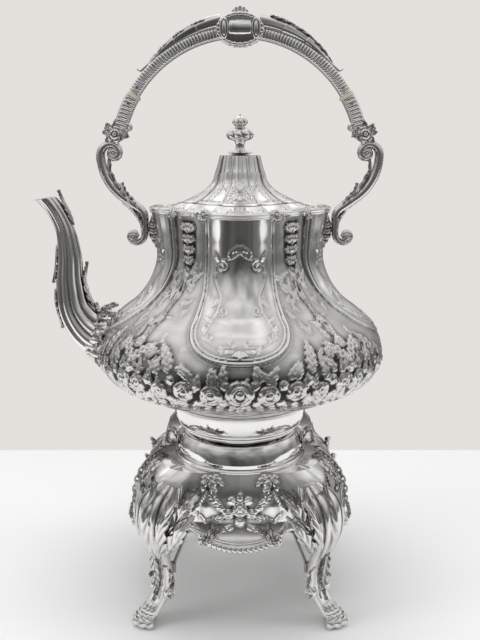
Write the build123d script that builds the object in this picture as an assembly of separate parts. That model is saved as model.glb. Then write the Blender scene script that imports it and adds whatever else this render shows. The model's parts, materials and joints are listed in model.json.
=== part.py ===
"""Silver spirit kettle on its burner stand, as separate pieces, in millimetres.

The kettle's axis is vertical.  The spout points to -X, the lid's hinge is at the back (+Y), and the
kettle tips about a pin at the spout side of the stand.  +Z is up and the feet stand on Z = 0.
"""
from build123d import *
import os
from math import cos, degrees, hypot, pi, radians, sin, sqrt

# ---------------------------------------------------------------- stand
STAND_SIDE = 76.5         # half width, axis to the side aprons
STAND_FRONT = 52.0        # half depth, axis to the front wall
APRON_FLARE = 6.0         # how far the front and back aprons flare out at their edge
APRON_Z = 62.0            # lower edge of the walls
SHOULDER_H = 48.0         # that edge to the flat top
COLLAR_R = 47.0           # collar round the kettle's seat
COLLAR_H = 12.5           # flat top to the kettle's seat
COLLAR_RIM = 5.2          # collar's rolled rim above the seat
SEAT_BORE_R = 28.0        # opening under the kettle, for the flame and the lamp
SHAFT_R = 40.0            # opening in the flat top
STAND_WALL = 1.6
CORNER_DEG = 34.0         # direction of the body's corners, from the X axis
ARCH_R = 12.5             # arch between a leg and the apron's tongue
ARCH_X = 38.5             # arch centre, from the axis
BORDER_DROP = 5.0         # how far the gadrooned border hangs under the apron
BORDER_T = 2.2

# legs: one outline serves for both faces of the corner casting
ANKLE_IN = 47.4
ANKLE_OUT = 60.3
ANKLE_Z = 36.0
KNEE_OUT = 64.0
KNEE_Z = 80.0
KNEE_R = 11.0
KNEE_TOP_Z = 105.0
WING_T = 2.6              # thickness of the wings over the shoulder
FOOT_X = 60.5             # where the toes start
FOOT_Y = 52.0
FOOT_TURN = 27.0          # degrees the foot points forwards, from the X axis
TOE_COUNT = 5
TOE_R = 3.9
TOE_L = 15.0
TOE_FAN = 88.0            # degrees from the first toe to the last
VOLUTE_Z = 24.0
VOLUTE_R = 5.2

# ---------------------------------------------------------------- burner
CRADLE_Z = 60.0
CRADLE_R = 29.0           # outer radius of the ring that holds the lamp
CRADLE_BAND = 4.0         # its width
CRADLE_T = 2.6
ROD_R = 1.2
ROD_FOOT_Z = 40.0
LAMP_R = 24.2
LAMP_H = 13.0             # font below the ring
LAMP_FLANGE = 2.6         # overlap of the lamp's flange on the ring
LAMP_DOME_H = 13.0
BURNER_R = 8.5
WICK_TUBE_R = 4.6
WICK_TUBE_H = 8.0
WICK_R = 3.4
CAP_R = 6.6
CAP_H = 12.0
CAP_OVERLAP = 0.18        # share of the cap below its hinge

# ---------------------------------------------------------------- kettle
WALL = 1.2
SEAT_GAP = 0.3            # the foot's bead over the collar
FOOT_H = 37.5             # foot bead to the bottom of the bowl
FOOT_R = 30.5
FOOT_TOP_R = 50.0
BELLY_R = 100.5
BELLY_H = 26.0            # bowl bottom to the widest ring
SHOULDER_RISE = 68.0      # widest ring to the waist
NECK_REACH = 59.0         # waist, to the middle of a wide panel
NECK_BASE = 48.5          # waist, to a narrow panel
NECK_RISE = 33.5          # waist to the rim
RIM_REACH = 62.0
RIM_BASE = 49.0
PANEL_DEG = 27.0          # half angle of a wide panel at the rim
BELLY_PANEL_DEG = 22.0    # and where it runs out on the belly
RIM_T = 3.2
RIM_PROUD = 1.4
DECK_STEP = 3.5           # rim's width inside the wall
DECK_RISE = 5.0
DECK_T = 1.3
SCALLOP_R = 3.0           # shell clusters on the rim's corners

# lid
LID_REACH = 40.0
LID_BASE = 33.0
LID_DEG = 25.0
LID_H = 31.7
LID_TOP = 14.0
LID_WALL = 1.2
LID_GAP = 0.3
LID_BORE = 32.0
BEZEL_FIT = 0.7
BEZEL_H = 4.5
FINIAL_DISC_R = 9.4
FINIAL_DISC_T = 2.4
FINIAL_H = 25.5
FINIAL_BULB_R = 8.0
STUD_R = 1.5

# lid hinge
HINGE_R = 2.2
HINGE_PIN_R = 0.9
HINGE_FIT = 0.05
HINGE_OUT = 4.6           # pin axis behind the lid's edge
HINGE_RISE = 1.4
KNUCKLE_W = 7.0
KNUCKLE_GAP = 0.35

# tilt hinge and lock pin
PIVOT_X = 51.0
PIVOT_Z = 2.0             # pin axis above the collar's top
PIN_R = 1.7
PIN_FIT = 0.06
BARREL_R = 3.9
BARREL_W = 9.0
EAR_T = 3.0
EAR_GAP = 0.35
SADDLE_GAP = 0.45
PIN_RING_R = 4.4
WIRE_R = 0.75

# spout
SPOUT_OUT = 41.5          # tip of the beak beyond the belly
SPOUT_RISE = 10.0         # widest ring to the middle of the root
SPOUT_OVER = 7.5          # tip of the beak above the rim
SPOUT_MOUTH_DEG = 9.0     # slant of the mouth
SPOUT_ROOT_R = 18.5
SPOUT_MOUTH_R = 6.0
SPOUT_FLUTES = 10
SPOUT_WALL = 1.1
STRAINER_R = 2.2
SOCKET_R = 23.0
SOCKET_IN = 10.0          # socket's middle inside the belly's edge

# handle
HANDLE_ARC_R = 84.6       # centre line of the grip
HANDLE_TOP = 283.2        # its highest point above the kettle's foot
GRIP_ANGLE = 32.0         # ends of the grip, above the arc's centre
GRIP_T = 9.0
GRIP_W = 9.0
INSULATOR_T = 2.4
INSULATOR_PROUD = 0.8
STUB_DROP = 23.0
ARM_X = 95.5              # outermost run of the scroll
ARM_T = 4.6
ARM_W = 7.5
CARTOUCHE_A = 14.6
CARTOUCHE_B = 10.1
CARTOUCHE_W = 14.0
CREST_R = 79.0
CREST_PROUD = 8.0
CREST_W = 7.0
FAN_R = 7.0
FAN_LOBES = 5
FLOWER_R = 6.2

# chains
LINK_L = 6.0
LINK_W = 4.0
LINK_WIRE = 1.0
LINK_PLAY = 0.25

# heights that follow
SHOULDER_TOP = APRON_Z + SHOULDER_H
SEAT_Z = SHOULDER_TOP + COLLAR_H
BASE_Z = SEAT_Z + SEAT_GAP
BOWL_Z = BASE_Z + FOOT_H
BELLY_Z = BOWL_Z + BELLY_H
WAIST_Z = BELLY_Z + SHOULDER_RISE
TOP_Z = WAIST_Z + NECK_RISE
RIM_Z = TOP_Z + RIM_T
DECK_Z = TOP_Z + 0.8 + DECK_RISE
LID_Z = DECK_Z + LID_GAP
LID_TOP_Z = LID_Z + LID_H
PIN_Z = SEAT_Z + PIVOT_Z
ARC_Z = BASE_Z + HANDLE_TOP - HANDLE_ARC_R
ORIGIN_X = SPOUT_OUT / 2
SPOUT_REACH = BELLY_R + SPOUT_OUT
SPOUT_ROOT_Z = BELLY_Z + SPOUT_RISE
SPOUT_TIP_Z = TOP_Z + SPOUT_OVER


# ---------------------------------------------------------------- helpers
def polar(radius, angle, z):
    """A point at a radius and an angle in degrees round the axis."""
    return (radius * cos(radians(angle)), radius * sin(radians(angle)), z)


def lobed(reach, base, half_deg, z):
    """A level outline of four wide lobes on a round of radius base, with a crease at each lobe's sides."""
    edges = []
    for quarter in range(4):
        middle = quarter * 90
        left, right = middle - half_deg, middle + half_deg
        edges.append(ThreePointArc(polar(base, left, z), polar(reach, middle, z), polar(base, right, z)))
        next_left = middle + 90 - half_deg
        diagonal = middle + 45
        edges.append(ThreePointArc(polar(base, right, z), polar(base, diagonal, z), polar(base, next_left, z)))
    return Face(Wire(edges))


def turned(*edges):
    """A solid turned about the kettle's axis from edges drawn as (radius, height)."""
    return revolve(Plane.XZ * make_face(list(edges)), Axis.Z)


def filled(points, floor, ceiling=None):
    """A full turned solid under a curve of (radius, height) points that run upwards."""
    first, last = points[0], points[-1]
    top = last[1] if ceiling is None else ceiling
    edges = [Spline(*points)]
    low_end, high_end = (first[0], floor), (last[0], top)
    if floor < first[1]:
        edges.append(Line(first, low_end))
    if top > last[1]:
        edges.append(Line(last, high_end))
    edges.append(Polyline(low_end, (0, floor), (0, top), high_end))
    return turned(*edges)


def inset(points, depth):
    """The same curve moved sideways by depth, towards the axis where depth is positive."""
    moved = []
    for i, (r, z) in enumerate(points):
        before, after = points[max(i - 1, 0)], points[min(i + 1, len(points) - 1)]
        dr, dz = after[0] - before[0], after[1] - before[1]
        length = hypot(dr, dz)
        moved.append((r - depth * dz / length, z + depth * dr / length))
    return moved


def cushion(a, b, z):
    """A level outline with four bowed sides: half width a, half depth b."""
    edges = []
    for sx, sy in ((1, 1), (-1, 1), (-1, -1), (1, -1)):
        side = (sx * a, 0, z)
        side_end = (0.955 * sx * a, 0.52 * sy * b, z)
        corner = (0.831 * sx * a, 0.809 * sy * b, z)
        face_end = (0.62 * sx * a, 0.95 * sy * b, z)
        edges.append(ThreePointArc(side_end, corner, face_end))
        if sy > 0 and sx > 0:
            edges.append(ThreePointArc(face_end, (0, b, z), (-face_end[0], face_end[1], z)))
            edges.append(ThreePointArc((side_end[0], -side_end[1], z), side, side_end))
        if sy < 0 and sx < 0:
            edges.append(ThreePointArc(face_end, (0, -b, z), (-face_end[0], face_end[1], z)))
            edges.append(ThreePointArc((side_end[0], -side_end[1], z), side, side_end))
    return Face(Wire(edges))


def tube(outer, inner, low, high):
    """An upright round tube on the axis."""
    ring = Circle(outer) - Circle(inner)
    return extrude(Plane.XY.offset(low) * ring, high - low)


def plug(radius, low, high):
    """A full upright round bar on the axis."""
    return extrude(Plane.XY.offset(low) * Circle(radius), high - low)


def cross_bar(radius, x, z, y_from, y_to):
    """A round bar along Y."""
    plane = Plane(origin=(x, y_from, z), x_dir=(1, 0, 0), z_dir=(0, 1, 0))
    return extrude(plane * Circle(radius), y_to - y_from)


def along_x(radius, y, z, x_from, x_to):
    """A round bar along X."""
    return extrude(Plane(origin=(x_from, y, z), z_dir=(1, 0, 0)) * Circle(radius), x_to - x_from)


def front_plate(face, thickness):
    """A face drawn as (x, z), centred on the plane of the spout and the handle."""
    return extrude(Plane.XZ * face, thickness / 2, both=True)


def scroll(start, heading, *runs):
    """A planar path of tangent runs in (x, z): (length, 0) is straight, (radius, turn) is an arc.

    A positive turn bends to the left of the heading.  Angles are in degrees.
    """
    x, z = start
    angle = heading
    edges = []
    for size, turn in runs:
        if turn == 0:
            end = (x + size * cos(radians(angle)), z + size * sin(radians(angle)))
            edges.append(Line((x, 0, z), (end[0], 0, end[1])))
        else:
            side = 1 if turn > 0 else -1
            cx = x - side * size * sin(radians(angle))
            cz = z + side * size * cos(radians(angle))
            begin = angle - side * 90
            mid = radians(begin + turn / 2)
            last = radians(begin + turn)
            end = (cx + size * cos(last), cz + size * sin(last))
            middle = (cx + size * cos(mid), 0, cz + size * sin(mid))
            edges.append(ThreePointArc((x, 0, z), middle, (end[0], 0, end[1])))
            angle += turn
        x, z = end
    return edges


def swept_bar(edges, section):
    """A bar of constant section along edges in the plane of the handle."""
    path = Wire(edges)
    start = path @ 0
    along = path % 0
    plane = Plane(origin=start, x_dir=(0, 1, 0), z_dir=along)
    return sweep(plane * section, path=path)


# ---------------------------------------------------------------- stand
def stand_sections(inwards, drop=0.0):
    """Level sections of the stand's body from the aprons to its flat top, moved inwards."""
    flare = APRON_FLARE
    shape = (
        (0.0, 1.012, flare),
        (0.09, 1.004, 0.42 * flare),
        (0.22, 1.0, 0.0),
        (0.54, 0.977, -1.0),
        (0.73, 0.93, -2.4),
        (0.88, 0.865, -4.4),
        (1.0, 0.765, -6.4),
    )
    faces = []
    for height, side, front in shape:
        z = APRON_Z + SHOULDER_H * height - drop * height
        faces.append(cushion(STAND_SIDE * side - inwards, STAND_FRONT + front - inwards, z))
    return faces


def stand_form(inwards=0.0, below=0.0, drop=0.0):
    """The stand's body as a full solid, moved inwards and carried down below its aprons."""
    faces = stand_sections(inwards, drop)
    form = loft(faces)
    if below > 0:
        form += extrude(faces[0], -below)
    return form


def arch_cutters():
    """Bars that cut the arch beside each leg through all four faces."""
    cutters = []
    for x in (-ARCH_X, ARCH_X):
        bar = cross_bar(ARCH_R, x, APRON_Z - 1, -2 * STAND_SIDE, 2 * STAND_SIDE)
        cutters += [bar, Rot(0, 0, 90) * bar]
    return cutters


def make_stand_body():
    """Raised body with its four aprons, one thin shell open below."""
    shell = stand_form() - stand_form(STAND_WALL, 4, STAND_WALL)
    shell -= plug(SHAFT_R, APRON_Z, SHOULDER_TOP + 1)
    for cutter in arch_cutters():
        shell -= cutter
    return shell


def make_stand_collar():
    """Convex collar with a rolled rim round the dished seat of the kettle's foot."""
    low, seat, rim = SHOULDER_TOP, SEAT_Z, SEAT_Z + COLLAR_RIM
    out = COLLAR_R
    wall = Spline((out, low + 1.8), (out - 0.2, low + 7), (out - 1.8, low + 13.5), (out - 4.2, rim))
    dish = Spline((out - 6.0, rim - 0.4), (out - 9.5, seat + 1.6), (out - 13, seat))
    return turned(
        Polyline((out - 3.2, low), (out + 0.6, low), (out + 0.6, low + 1.4), (out, low + 1.8)),
        wall,
        ThreePointArc((out - 4.2, rim), (out - 5.2, rim + 0.2), (out - 6.0, rim - 0.4)),
        dish,
        Polyline((out - 13, seat), (SEAT_BORE_R, seat), (SEAT_BORE_R, seat - STAND_WALL), (out - 5, seat - STAND_WALL)),
        Spline((out - 5, seat - STAND_WALL), (out - 3.0, low + 7), (out - 3.2, low)),
    )


def make_apron_borders(body):
    """Gadrooned lip that hangs under the middle of each apron."""
    half = ARCH_X - ARCH_R - 2.8
    upper = ThreePointArc((half, APRON_Z + 5), (0, APRON_Z + 2), (-half, APRON_Z + 5))
    lower = ThreePointArc((half, APRON_Z + 1), (0, APRON_Z - BORDER_DROP), (-half, APRON_Z + 1))
    sides = [Line((s * half, APRON_Z + 5), (s * half, APRON_Z + 1)) for s in (-1, 1)]
    face = make_face([upper, lower, *sides])
    skin = stand_form(-BORDER_T, 2 * BORDER_DROP) - stand_form(STAND_WALL, 3 * BORDER_DROP) - stand_form()
    lips = []
    for plane in (Plane.XZ, Plane.YZ):
        lips += (skin & extrude(plane * face, 2 * STAND_SIDE, both=True) - body).solids()
    return Compound(children=lips)


def leg_outline(foot):
    """One face of the corner casting below the body, as (x, z), down to toes that start at foot."""
    inner = Spline(
        (ARCH_X + ARCH_R, APRON_Z),
        (ANKLE_IN + 3.0, ANKLE_Z + 14),
        (ANKLE_IN, ANKLE_Z),
        (ANKLE_IN + 2.6, VOLUTE_Z - 3),
        (foot - 1.5, VOLUTE_Z - 11),
    )
    outer = Spline(
        (KNEE_OUT, APRON_Z + 4),
        (KNEE_OUT - 2.6, ANKLE_Z + 15),
        (ANKLE_OUT, ANKLE_Z + 5),
        (ANKLE_OUT + 0.15 * (foot - ANKLE_IN), VOLUTE_Z + 6),
        (foot + 6.5, VOLUTE_Z - 1),
        (foot + 9.0, VOLUTE_Z - 9),
    )
    low = Line(inner @ 1, outer @ 1)
    high = Polyline(inner @ 0, (ARCH_X + ARCH_R, APRON_Z + 4), outer @ 0)
    return make_face([inner, outer, low, high])


def wing_face():
    """Leaf-covered wing of a leg on the stand's wall: outline in (distance along the wall, height)."""
    tongue = ARCH_X - ARCH_R
    far = KNEE_OUT + 20
    arch = ThreePointArc((ARCH_X + ARCH_R, APRON_Z - 1), (ARCH_X, APRON_Z + ARCH_R - 1), (tongue, APRON_Z - 1))
    upper = Spline(
        (tongue - 2.5, APRON_Z + 3.5),
        (tongue + 4, APRON_Z + 13),
        (tongue + 3.5, APRON_Z + 25),
        (tongue + 9, KNEE_TOP_Z - 5),
    )
    rest = Polyline(upper @ 1, (far, KNEE_TOP_Z - 5), (far, APRON_Z - 1), arch @ 0)
    return make_face([arch, Line(arch @ 1, upper @ 0), upper, rest])


def make_leg():
    """The leg at +X, -Y: wings, knee, square stem, volutes and a shell foot with rounded toes."""
    reach = 2 * STAND_SIDE
    leg = extrude(Plane.XZ * leg_outline(FOOT_X), reach)
    leg &= extrude(Plane.YZ * mirror(leg_outline(FOOT_Y), Plane.YZ), reach)

    centre = KNEE_OUT - KNEE_R + 1
    leg += Pos(centre, -centre, KNEE_Z + 4) * Sphere(KNEE_R)
    shin = Solid.make_cone(0.55 * KNEE_R, 0.93 * KNEE_R, 26, Plane(origin=(centre + 1.5, -centre - 1.5, KNEE_Z - 26)))
    leg += [shin, Pos(centre - 5.5, -centre + 5.5, KNEE_TOP_Z - 10.5) * Sphere(0.95 * KNEE_R)]
    leg += cross_bar(VOLUTE_R, FOOT_X - 2.0, VOLUTE_Z, -(KNEE_OUT + 1.0), -(ANKLE_IN + 2))
    leg += along_x(VOLUTE_R - 0.8, -FOOT_Y - 3.0, VOLUTE_Z, ANKLE_IN + 4, KNEE_OUT + 4)
    root = Vector(FOOT_X - 1, -FOOT_Y - 2, VOLUTE_Z - 9)
    for i in range(TOE_COUNT):
        angle = radians(-FOOT_TURN + TOE_FAN * (i / (TOE_COUNT - 1) - 0.5))
        span = TOE_L * (1 - 0.12 * abs(i - (TOE_COUNT - 1) / 2))
        tip = Vector(FOOT_X + span * cos(angle), -FOOT_Y + span * sin(angle), TOE_R - 0.5)
        ray = tip - root
        leg += extrude(Plane(origin=root, z_dir=ray.normalized()) * Circle(TOE_R - 0.6), ray.length, taper=-1.5)
        leg += Pos(tip) * Sphere(TOE_R)
    seat = Rot(0, 0, -45) * (Pos(ANKLE_IN * sqrt(2) - 8, 0, ROD_FOOT_Z) * Box(20, 30, 16))
    floor = Pos(0, 0, -20) * Box(2 * reach, 2 * reach, 40)
    body = stand_form(0, 2)
    leg = leg - seat - floor - body
    skin = stand_form(-WING_T, 2) - body
    ahead = Rot(0, 0, -CORNER_DEG) * (Pos(0, -reach, 0) * Box(2 * reach, 2 * reach, 2 * reach))
    front = extrude(Plane.XZ * wing_face(), reach) & ahead
    side = extrude(Plane.YZ * mirror(wing_face(), Plane.YZ), reach) - ahead
    return leg + (skin & front) + (skin & side)


# ---------------------------------------------------------------- burner
def make_cradle_ring():
    """Flat ring that the spirit lamp drops into."""
    return tube(CRADLE_R, CRADLE_R - CRADLE_BAND, CRADLE_Z, CRADLE_Z + CRADLE_T)


def rod_path():
    """Centre line of a cradle rod in its own upright plane: (distance from the axis, height)."""
    foot = (ANKLE_IN * sqrt(2) + 2 - ROD_R, ROD_FOOT_Z)
    knee = (foot[0] - 13.4, CRADLE_Z + CRADLE_T / 2)
    ring = (CRADLE_R - 1.0, knee[1])
    return foot, knee, ring


def make_cradle_rods():
    """Four bent rods from the ankles up to the ring."""
    foot, knee, ring = rod_path()
    rod = Pos(knee[0], 0, knee[1]) * Sphere(ROD_R)
    for end in (foot, ring):
        start = Vector(knee[0], 0, knee[1])
        span = Vector(end[0], 0, end[1]) - start
        rod += extrude(Plane(origin=start, z_dir=span.normalized()) * Circle(ROD_R), span.length)
    pad = Pos(foot[0] + ROD_R - 0.9, 0, foot[1]) * Box(1.8, 6, 7)
    rod = (rod + pad) - make_cradle_ring()
    rod &= Pos(foot[0] + ROD_R - 50, 0, foot[1] + 10) * Box(100, 40, 60)
    return Compound(children=[s for i in range(4) for s in (Rot(0, 0, 45 + 90 * i) * rod).solids()])


def make_lamp_font():
    """Spirit font: a squat turned vessel hung in the ring by its flange."""
    seat = CRADLE_Z + CRADLE_T + SEAT_GAP
    flange_r = CRADLE_R - CRADLE_BAND + LAMP_FLANGE
    outer = [
        Polyline((0, CRADLE_Z - LAMP_H), (0.55 * LAMP_R, CRADLE_Z - LAMP_H)),
        Spline((0.55 * LAMP_R, CRADLE_Z - LAMP_H), (0.9 * LAMP_R, CRADLE_Z - 0.6 * LAMP_H), (LAMP_R, CRADLE_Z)),
        Polyline((LAMP_R, CRADLE_Z), (LAMP_R, seat), (flange_r, seat), (flange_r, seat + 1.2), (LAMP_R, seat + 1.2)),
        Spline((LAMP_R, seat + 1.2), (0.8 * LAMP_R, seat + 0.6 * LAMP_DOME_H), (BURNER_R, seat + LAMP_DOME_H)),
        Polyline((BURNER_R, seat + LAMP_DOME_H), (0, seat + LAMP_DOME_H), (0, CRADLE_Z - LAMP_H)),
    ]
    return turned(*outer)


def lamp_top():
    """Height of the font's top face."""
    return CRADLE_Z + CRADLE_T + SEAT_GAP + LAMP_DOME_H


def make_burner_collar():
    """Screw collar on the font, with the wick tube's bore."""
    low = lamp_top()
    collar = tube(BURNER_R, WICK_R, low, low + 3.5) + tube(WICK_TUBE_R, WICK_R, low, low + 3.5 + WICK_TUBE_H)
    for i in range(8):
        collar -= Pos(*polar(BURNER_R + 0.6, 45 * i + 22.5, low + 1.7)) * Cylinder(1.4, 8)
    return collar


def make_wick():
    """Round cotton wick in its tube."""
    low = lamp_top()
    return Pos(0, 0, low + (5.5 + WICK_TUBE_H) / 2) * Cylinder(WICK_R, 5.5 + WICK_TUBE_H)


def snuffer_axis():
    """Place of the snuffer's hinge: (x, z)."""
    return (BURNER_R + 1.6, lamp_top() + 3.5 + WICK_TUBE_H - 1)


def make_snuffer_bracket():
    """Post beside the wick tube that carries the snuffer's hinge pin."""
    x, z = snuffer_axis()
    low = lamp_top() + 3.5
    post = Pos((WICK_TUBE_R + x) / 2, 0, low + 1) * Box(x - WICK_TUBE_R + 2, 3, 2)
    post += Pos(x + 0.5, 0, (low + z) / 2) * Box(2.2, 3, z - low)
    post += cross_bar(1.8, x, z, -1.5, 1.5)
    post += cross_bar(0.8, x, z, -4.2, 4.2)
    return post - make_burner_collar()


def make_snuffer():
    """Domed cap over the wick, hinged at the side with two small ears."""
    x, z = snuffer_axis()
    low = z - CAP_H * CAP_OVERLAP
    dome = turned(
        Polyline((0, low + CAP_H), (0, low + CAP_H - 1.2)),
        Spline((0, low + CAP_H - 1.2), (CAP_R - 2.4, low + CAP_H * 0.6), (CAP_R - 1.1, low)),
        Line((CAP_R - 1.1, low), (CAP_R, low)),
        Spline((CAP_R, low), (CAP_R - 1.0, low + CAP_H * 0.6), (0, low + CAP_H)),
    )
    knob = Pos(0, 0, low + CAP_H + 1.2) * Sphere(1.9)
    ears = [
        Pos(CAP_R / 2 + x / 2 - 0.4, side * 2.9, z) * Box(x - CAP_R + 3.0, 1.8, 2.6)
        for side in (-1, 1)
    ]
    cap = dome + knob + ears
    cap += [cross_bar(2.0, x, z, side * 2.9 - 0.9, side * 2.9 + 0.9) for side in (-1, 1)]
    cap -= cross_bar(0.8 + HINGE_FIT, x, z, -6, 6)
    return cap - plug(CAP_R - 1.1, low - 3, low + 0.45 * CAP_H)


# ---------------------------------------------------------------- kettle
def bowl_curve():
    """Outer curve of the bowl from its flat bottom to the widest ring, as (radius, height)."""
    return [
        (0.53 * BELLY_R, BOWL_Z),
        (0.76 * BELLY_R, BOWL_Z + 0.13 * BELLY_H),
        (0.885 * BELLY_R, BOWL_Z + 0.37 * BELLY_H),
        (0.965 * BELLY_R, BOWL_Z + 0.66 * BELLY_H),
        (BELLY_R, BELLY_Z),
    ]


def upper_sections(inwards):
    """Level sections from the widest ring to the rim, moved inwards for the inner face."""
    waist = BELLY_R - NECK_REACH
    base_waist = BELLY_R - NECK_BASE

    def at(height, in_share, base_share, turn):
        reach = BELLY_R - waist * in_share - inwards
        base = BELLY_R - base_waist * base_share - inwards
        spread = BELLY_PANEL_DEG + (PANEL_DEG - BELLY_PANEL_DEG) * turn
        return lobed(reach, base, spread, BELLY_Z + SHOULDER_RISE * height)

    return [
        at(0, 0, 0, 0),
        at(0.14, 0.012, 0.01, 0),
        at(0.29, 0.10, 0.115, 0),
        at(0.45, 0.34, 0.36, 0.2),
        at(0.61, 0.665, 0.66, 0.45),
        at(0.80, 0.89, 0.89, 0.7),
        at(1, 1, 1, 0.9),
        lobed(NECK_REACH + 0.8 - inwards, NECK_BASE - 0.5 - inwards, PANEL_DEG, WAIST_Z + 0.54 * NECK_RISE),
        lobed(RIM_REACH - inwards, RIM_BASE - inwards, PANEL_DEG, TOP_Z),
    ]


def kettle_solid():
    """The kettle's outer form, full."""
    return filled(bowl_curve(), BOWL_Z) + loft(upper_sections(0))


def kettle_space():
    """The space inside the kettle's wall."""
    curve = inset(bowl_curve(), WALL)
    curve[0] = (curve[0][0], BOWL_Z + WALL)
    curve[-1] = (BELLY_R - WALL, BELLY_Z)
    return filled(curve, BOWL_Z + WALL) + loft(upper_sections(WALL))


def rim_outline(grow, z):
    """The rim's outline, grown sideways."""
    return lobed(RIM_REACH + grow, RIM_BASE + grow, PANEL_DEG, z)


def make_kettle_shell(outer):
    """Raised body, open at the top, with the strainer holes behind the spout."""
    shell = outer - kettle_space()
    root = spout_stations()[0][0]
    holes = [(0, 0)] + [(5.6 * cos(radians(60 * i)), 5.6 * sin(radians(60 * i))) for i in range(6)]
    for y, dz in holes:
        drill = Plane(origin=(-BELLY_R - 12, y, root[1] + dz), z_dir=(1, 0, 0))
        shell -= extrude(drill * Circle(STRAINER_R), 24)
    return shell


def make_kettle_foot():
    """Cup-shaped foot ring with a bead, open inside for the flame."""
    points = [
        (FOOT_R, BASE_Z + 2.2),
        (FOOT_R + 7, BASE_Z + 5.5),
        (FOOT_TOP_R - 4.5, BASE_Z + 0.36 * FOOT_H),
        (FOOT_TOP_R - 0.8, BASE_Z + 0.66 * FOOT_H),
        (FOOT_TOP_R, BOWL_Z),
    ]
    inner = inset(points, WALL)
    inner[-1] = (FOOT_TOP_R - WALL, BOWL_Z)
    return turned(
        Spline(*points),
        Line(points[-1], inner[-1]),
        Spline(*inner),
        Line(inner[0], (inner[0][0], BASE_Z)),
        Line((inner[0][0], BASE_Z), (FOOT_R, BASE_Z)),
        ThreePointArc((FOOT_R, BASE_Z), (FOOT_R + 1.1, BASE_Z + 1.1), (FOOT_R, BASE_Z + 2.2)),
    )


def make_rim(shells):
    """Reeded moulding on the rim, let in for the shells on its creases."""
    heights = (TOP_Z, TOP_Z + 0.3 * RIM_T, TOP_Z + 0.65 * RIM_T, RIM_Z)
    rings = []
    for low, high, proud in zip(heights, heights[1:], (0.2, 1.0, 0.55)):
        rings.append(extrude(rim_outline(RIM_PROUD * proud, low), high - low))
    rim = rings[0] + rings[1:]
    rim -= extrude(rim_outline(-DECK_STEP, TOP_Z - 1), RIM_T + 2)
    return rim - shells


def make_rim_shells():
    """Eight rounded shells that cover the creases of the rim."""
    above = Pos(0, 0, TOP_Z + 10) * Box(4 * RIM_REACH, 4 * RIM_REACH, 20)
    shells = []
    for quarter in range(4):
        for side in (-1, 1):
            place = polar(RIM_BASE + 1.6, 90 * quarter + side * PANEL_DEG, TOP_Z + 0.3 * RIM_T)
            shells.append((Pos(*place) * Sphere(SCALLOP_R)) & above)
    return shells


def make_deck():
    """Lobed top plate that slopes up from the rim to the lid's seat."""
    foot = lobed(RIM_REACH - DECK_STEP, RIM_BASE - DECK_STEP, PANEL_DEG, TOP_Z + 0.8)
    seat = lobed(LID_REACH + 1.5, LID_BASE + 1.5, LID_DEG, DECK_Z)
    top = loft([foot, seat])
    skirt = extrude(foot, -DECK_T)
    under = Pos(0, 0, -DECK_T) * loft([foot, seat])
    return (top + skirt) - under - plug(LID_BORE + WALL, TOP_Z - 9, DECK_Z + 5)


def make_lid_seat():
    """Upright ring in the top plate that the lid's bezel drops into."""
    return tube(LID_BORE + WALL, LID_BORE, DECK_Z - 7, DECK_Z)


def lid_sections(inwards):
    """Level sections of the bell-shaped lid."""
    def at(height, share):
        top_base = 0.88 * LID_TOP
        reach = LID_TOP + (LID_REACH - LID_TOP) * share - inwards
        base = top_base + (LID_BASE - top_base) * share - inwards
        return lobed(reach, base, LID_DEG, LID_Z + LID_H * height - 1.2 * inwards)

    return [at(0, 1), at(0.12, 0.69), at(0.32, 0.32), at(0.68, 0.11), at(1, 0)]


def lid_solid():
    """The lid's outer form, full."""
    return loft(lid_sections(0))


def make_lid(outer):
    """Thin bell-shaped lid with its bezel."""
    shell = outer - loft(lid_sections(LID_WALL))
    bezel_r = LID_BORE - BEZEL_FIT
    cone = Solid.make_cone(bezel_r - 0.8, bezel_r, BEZEL_H + 4, Plane.XY.offset(LID_Z - BEZEL_H))
    core = Solid.make_cone(bezel_r - 2.2, bezel_r - 1.4, BEZEL_H + 5, Plane.XY.offset(LID_Z - BEZEL_H - 1))
    keep = outer + plug(bezel_r + 1, LID_Z - BEZEL_H, LID_Z)
    bezel = (cone - core) & keep
    lid = shell + bezel
    lid -= Pos(0, 0, LID_TOP_Z) * Cylinder(STUD_R + HINGE_FIT, 12)
    vent = Plane(origin=(0, -7.5, LID_TOP_Z + 2), z_dir=(0, 0, -1))
    return lid - extrude(vent * Circle(1.2), 8)


def make_finial_disc():
    """Beaded disc under the finial."""
    low = LID_TOP_Z
    edge = FINIAL_DISC_R
    return turned(
        Line((STUD_R + HINGE_FIT, low), (0.6 * edge, low)),
        Line((0.6 * edge, low), (0.72 * edge, low + 0.9)),
        ThreePointArc((0.72 * edge, low + 0.9), (edge, low + 1.7), (0.72 * edge, low + FINIAL_DISC_T)),
        Line((0.72 * edge, low + FINIAL_DISC_T), (STUD_R + HINGE_FIT, low + FINIAL_DISC_T)),
        Line((STUD_R + HINGE_FIT, low + FINIAL_DISC_T), (STUD_R + HINGE_FIT, low)),
    )


def make_finial():
    """Stem, gadrooned bulb and bud of the finial, with the stud that goes through the lid."""
    low = LID_TOP_Z + FINIAL_DISC_T
    h = FINIAL_H
    bulb = FINIAL_BULB_R
    curve = Spline(
        (4.4, low),
        (2.9, low + 0.16 * h),
        (3.3, low + 0.30 * h),
        (bulb, low + 0.47 * h),
        (0.62 * bulb, low + 0.62 * h),
        (0.36 * bulb, low + 0.68 * h),
        (0.52 * bulb, low + 0.80 * h),
        (1.1, low + 0.93 * h),
        (0.5, low + h),
    )
    body = turned(curve, Polyline((0.5, low + h), (0, low + h), (0, low), (4.4, low)))
    for i in range(8):
        body += Pos(*polar(bulb - 1.9, 45 * i, low + 0.48 * h)) * Sphere(2.7)
    stud = Pos(0, 0, low - 7) * Cylinder(STUD_R, 14)
    return body + stud


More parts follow.
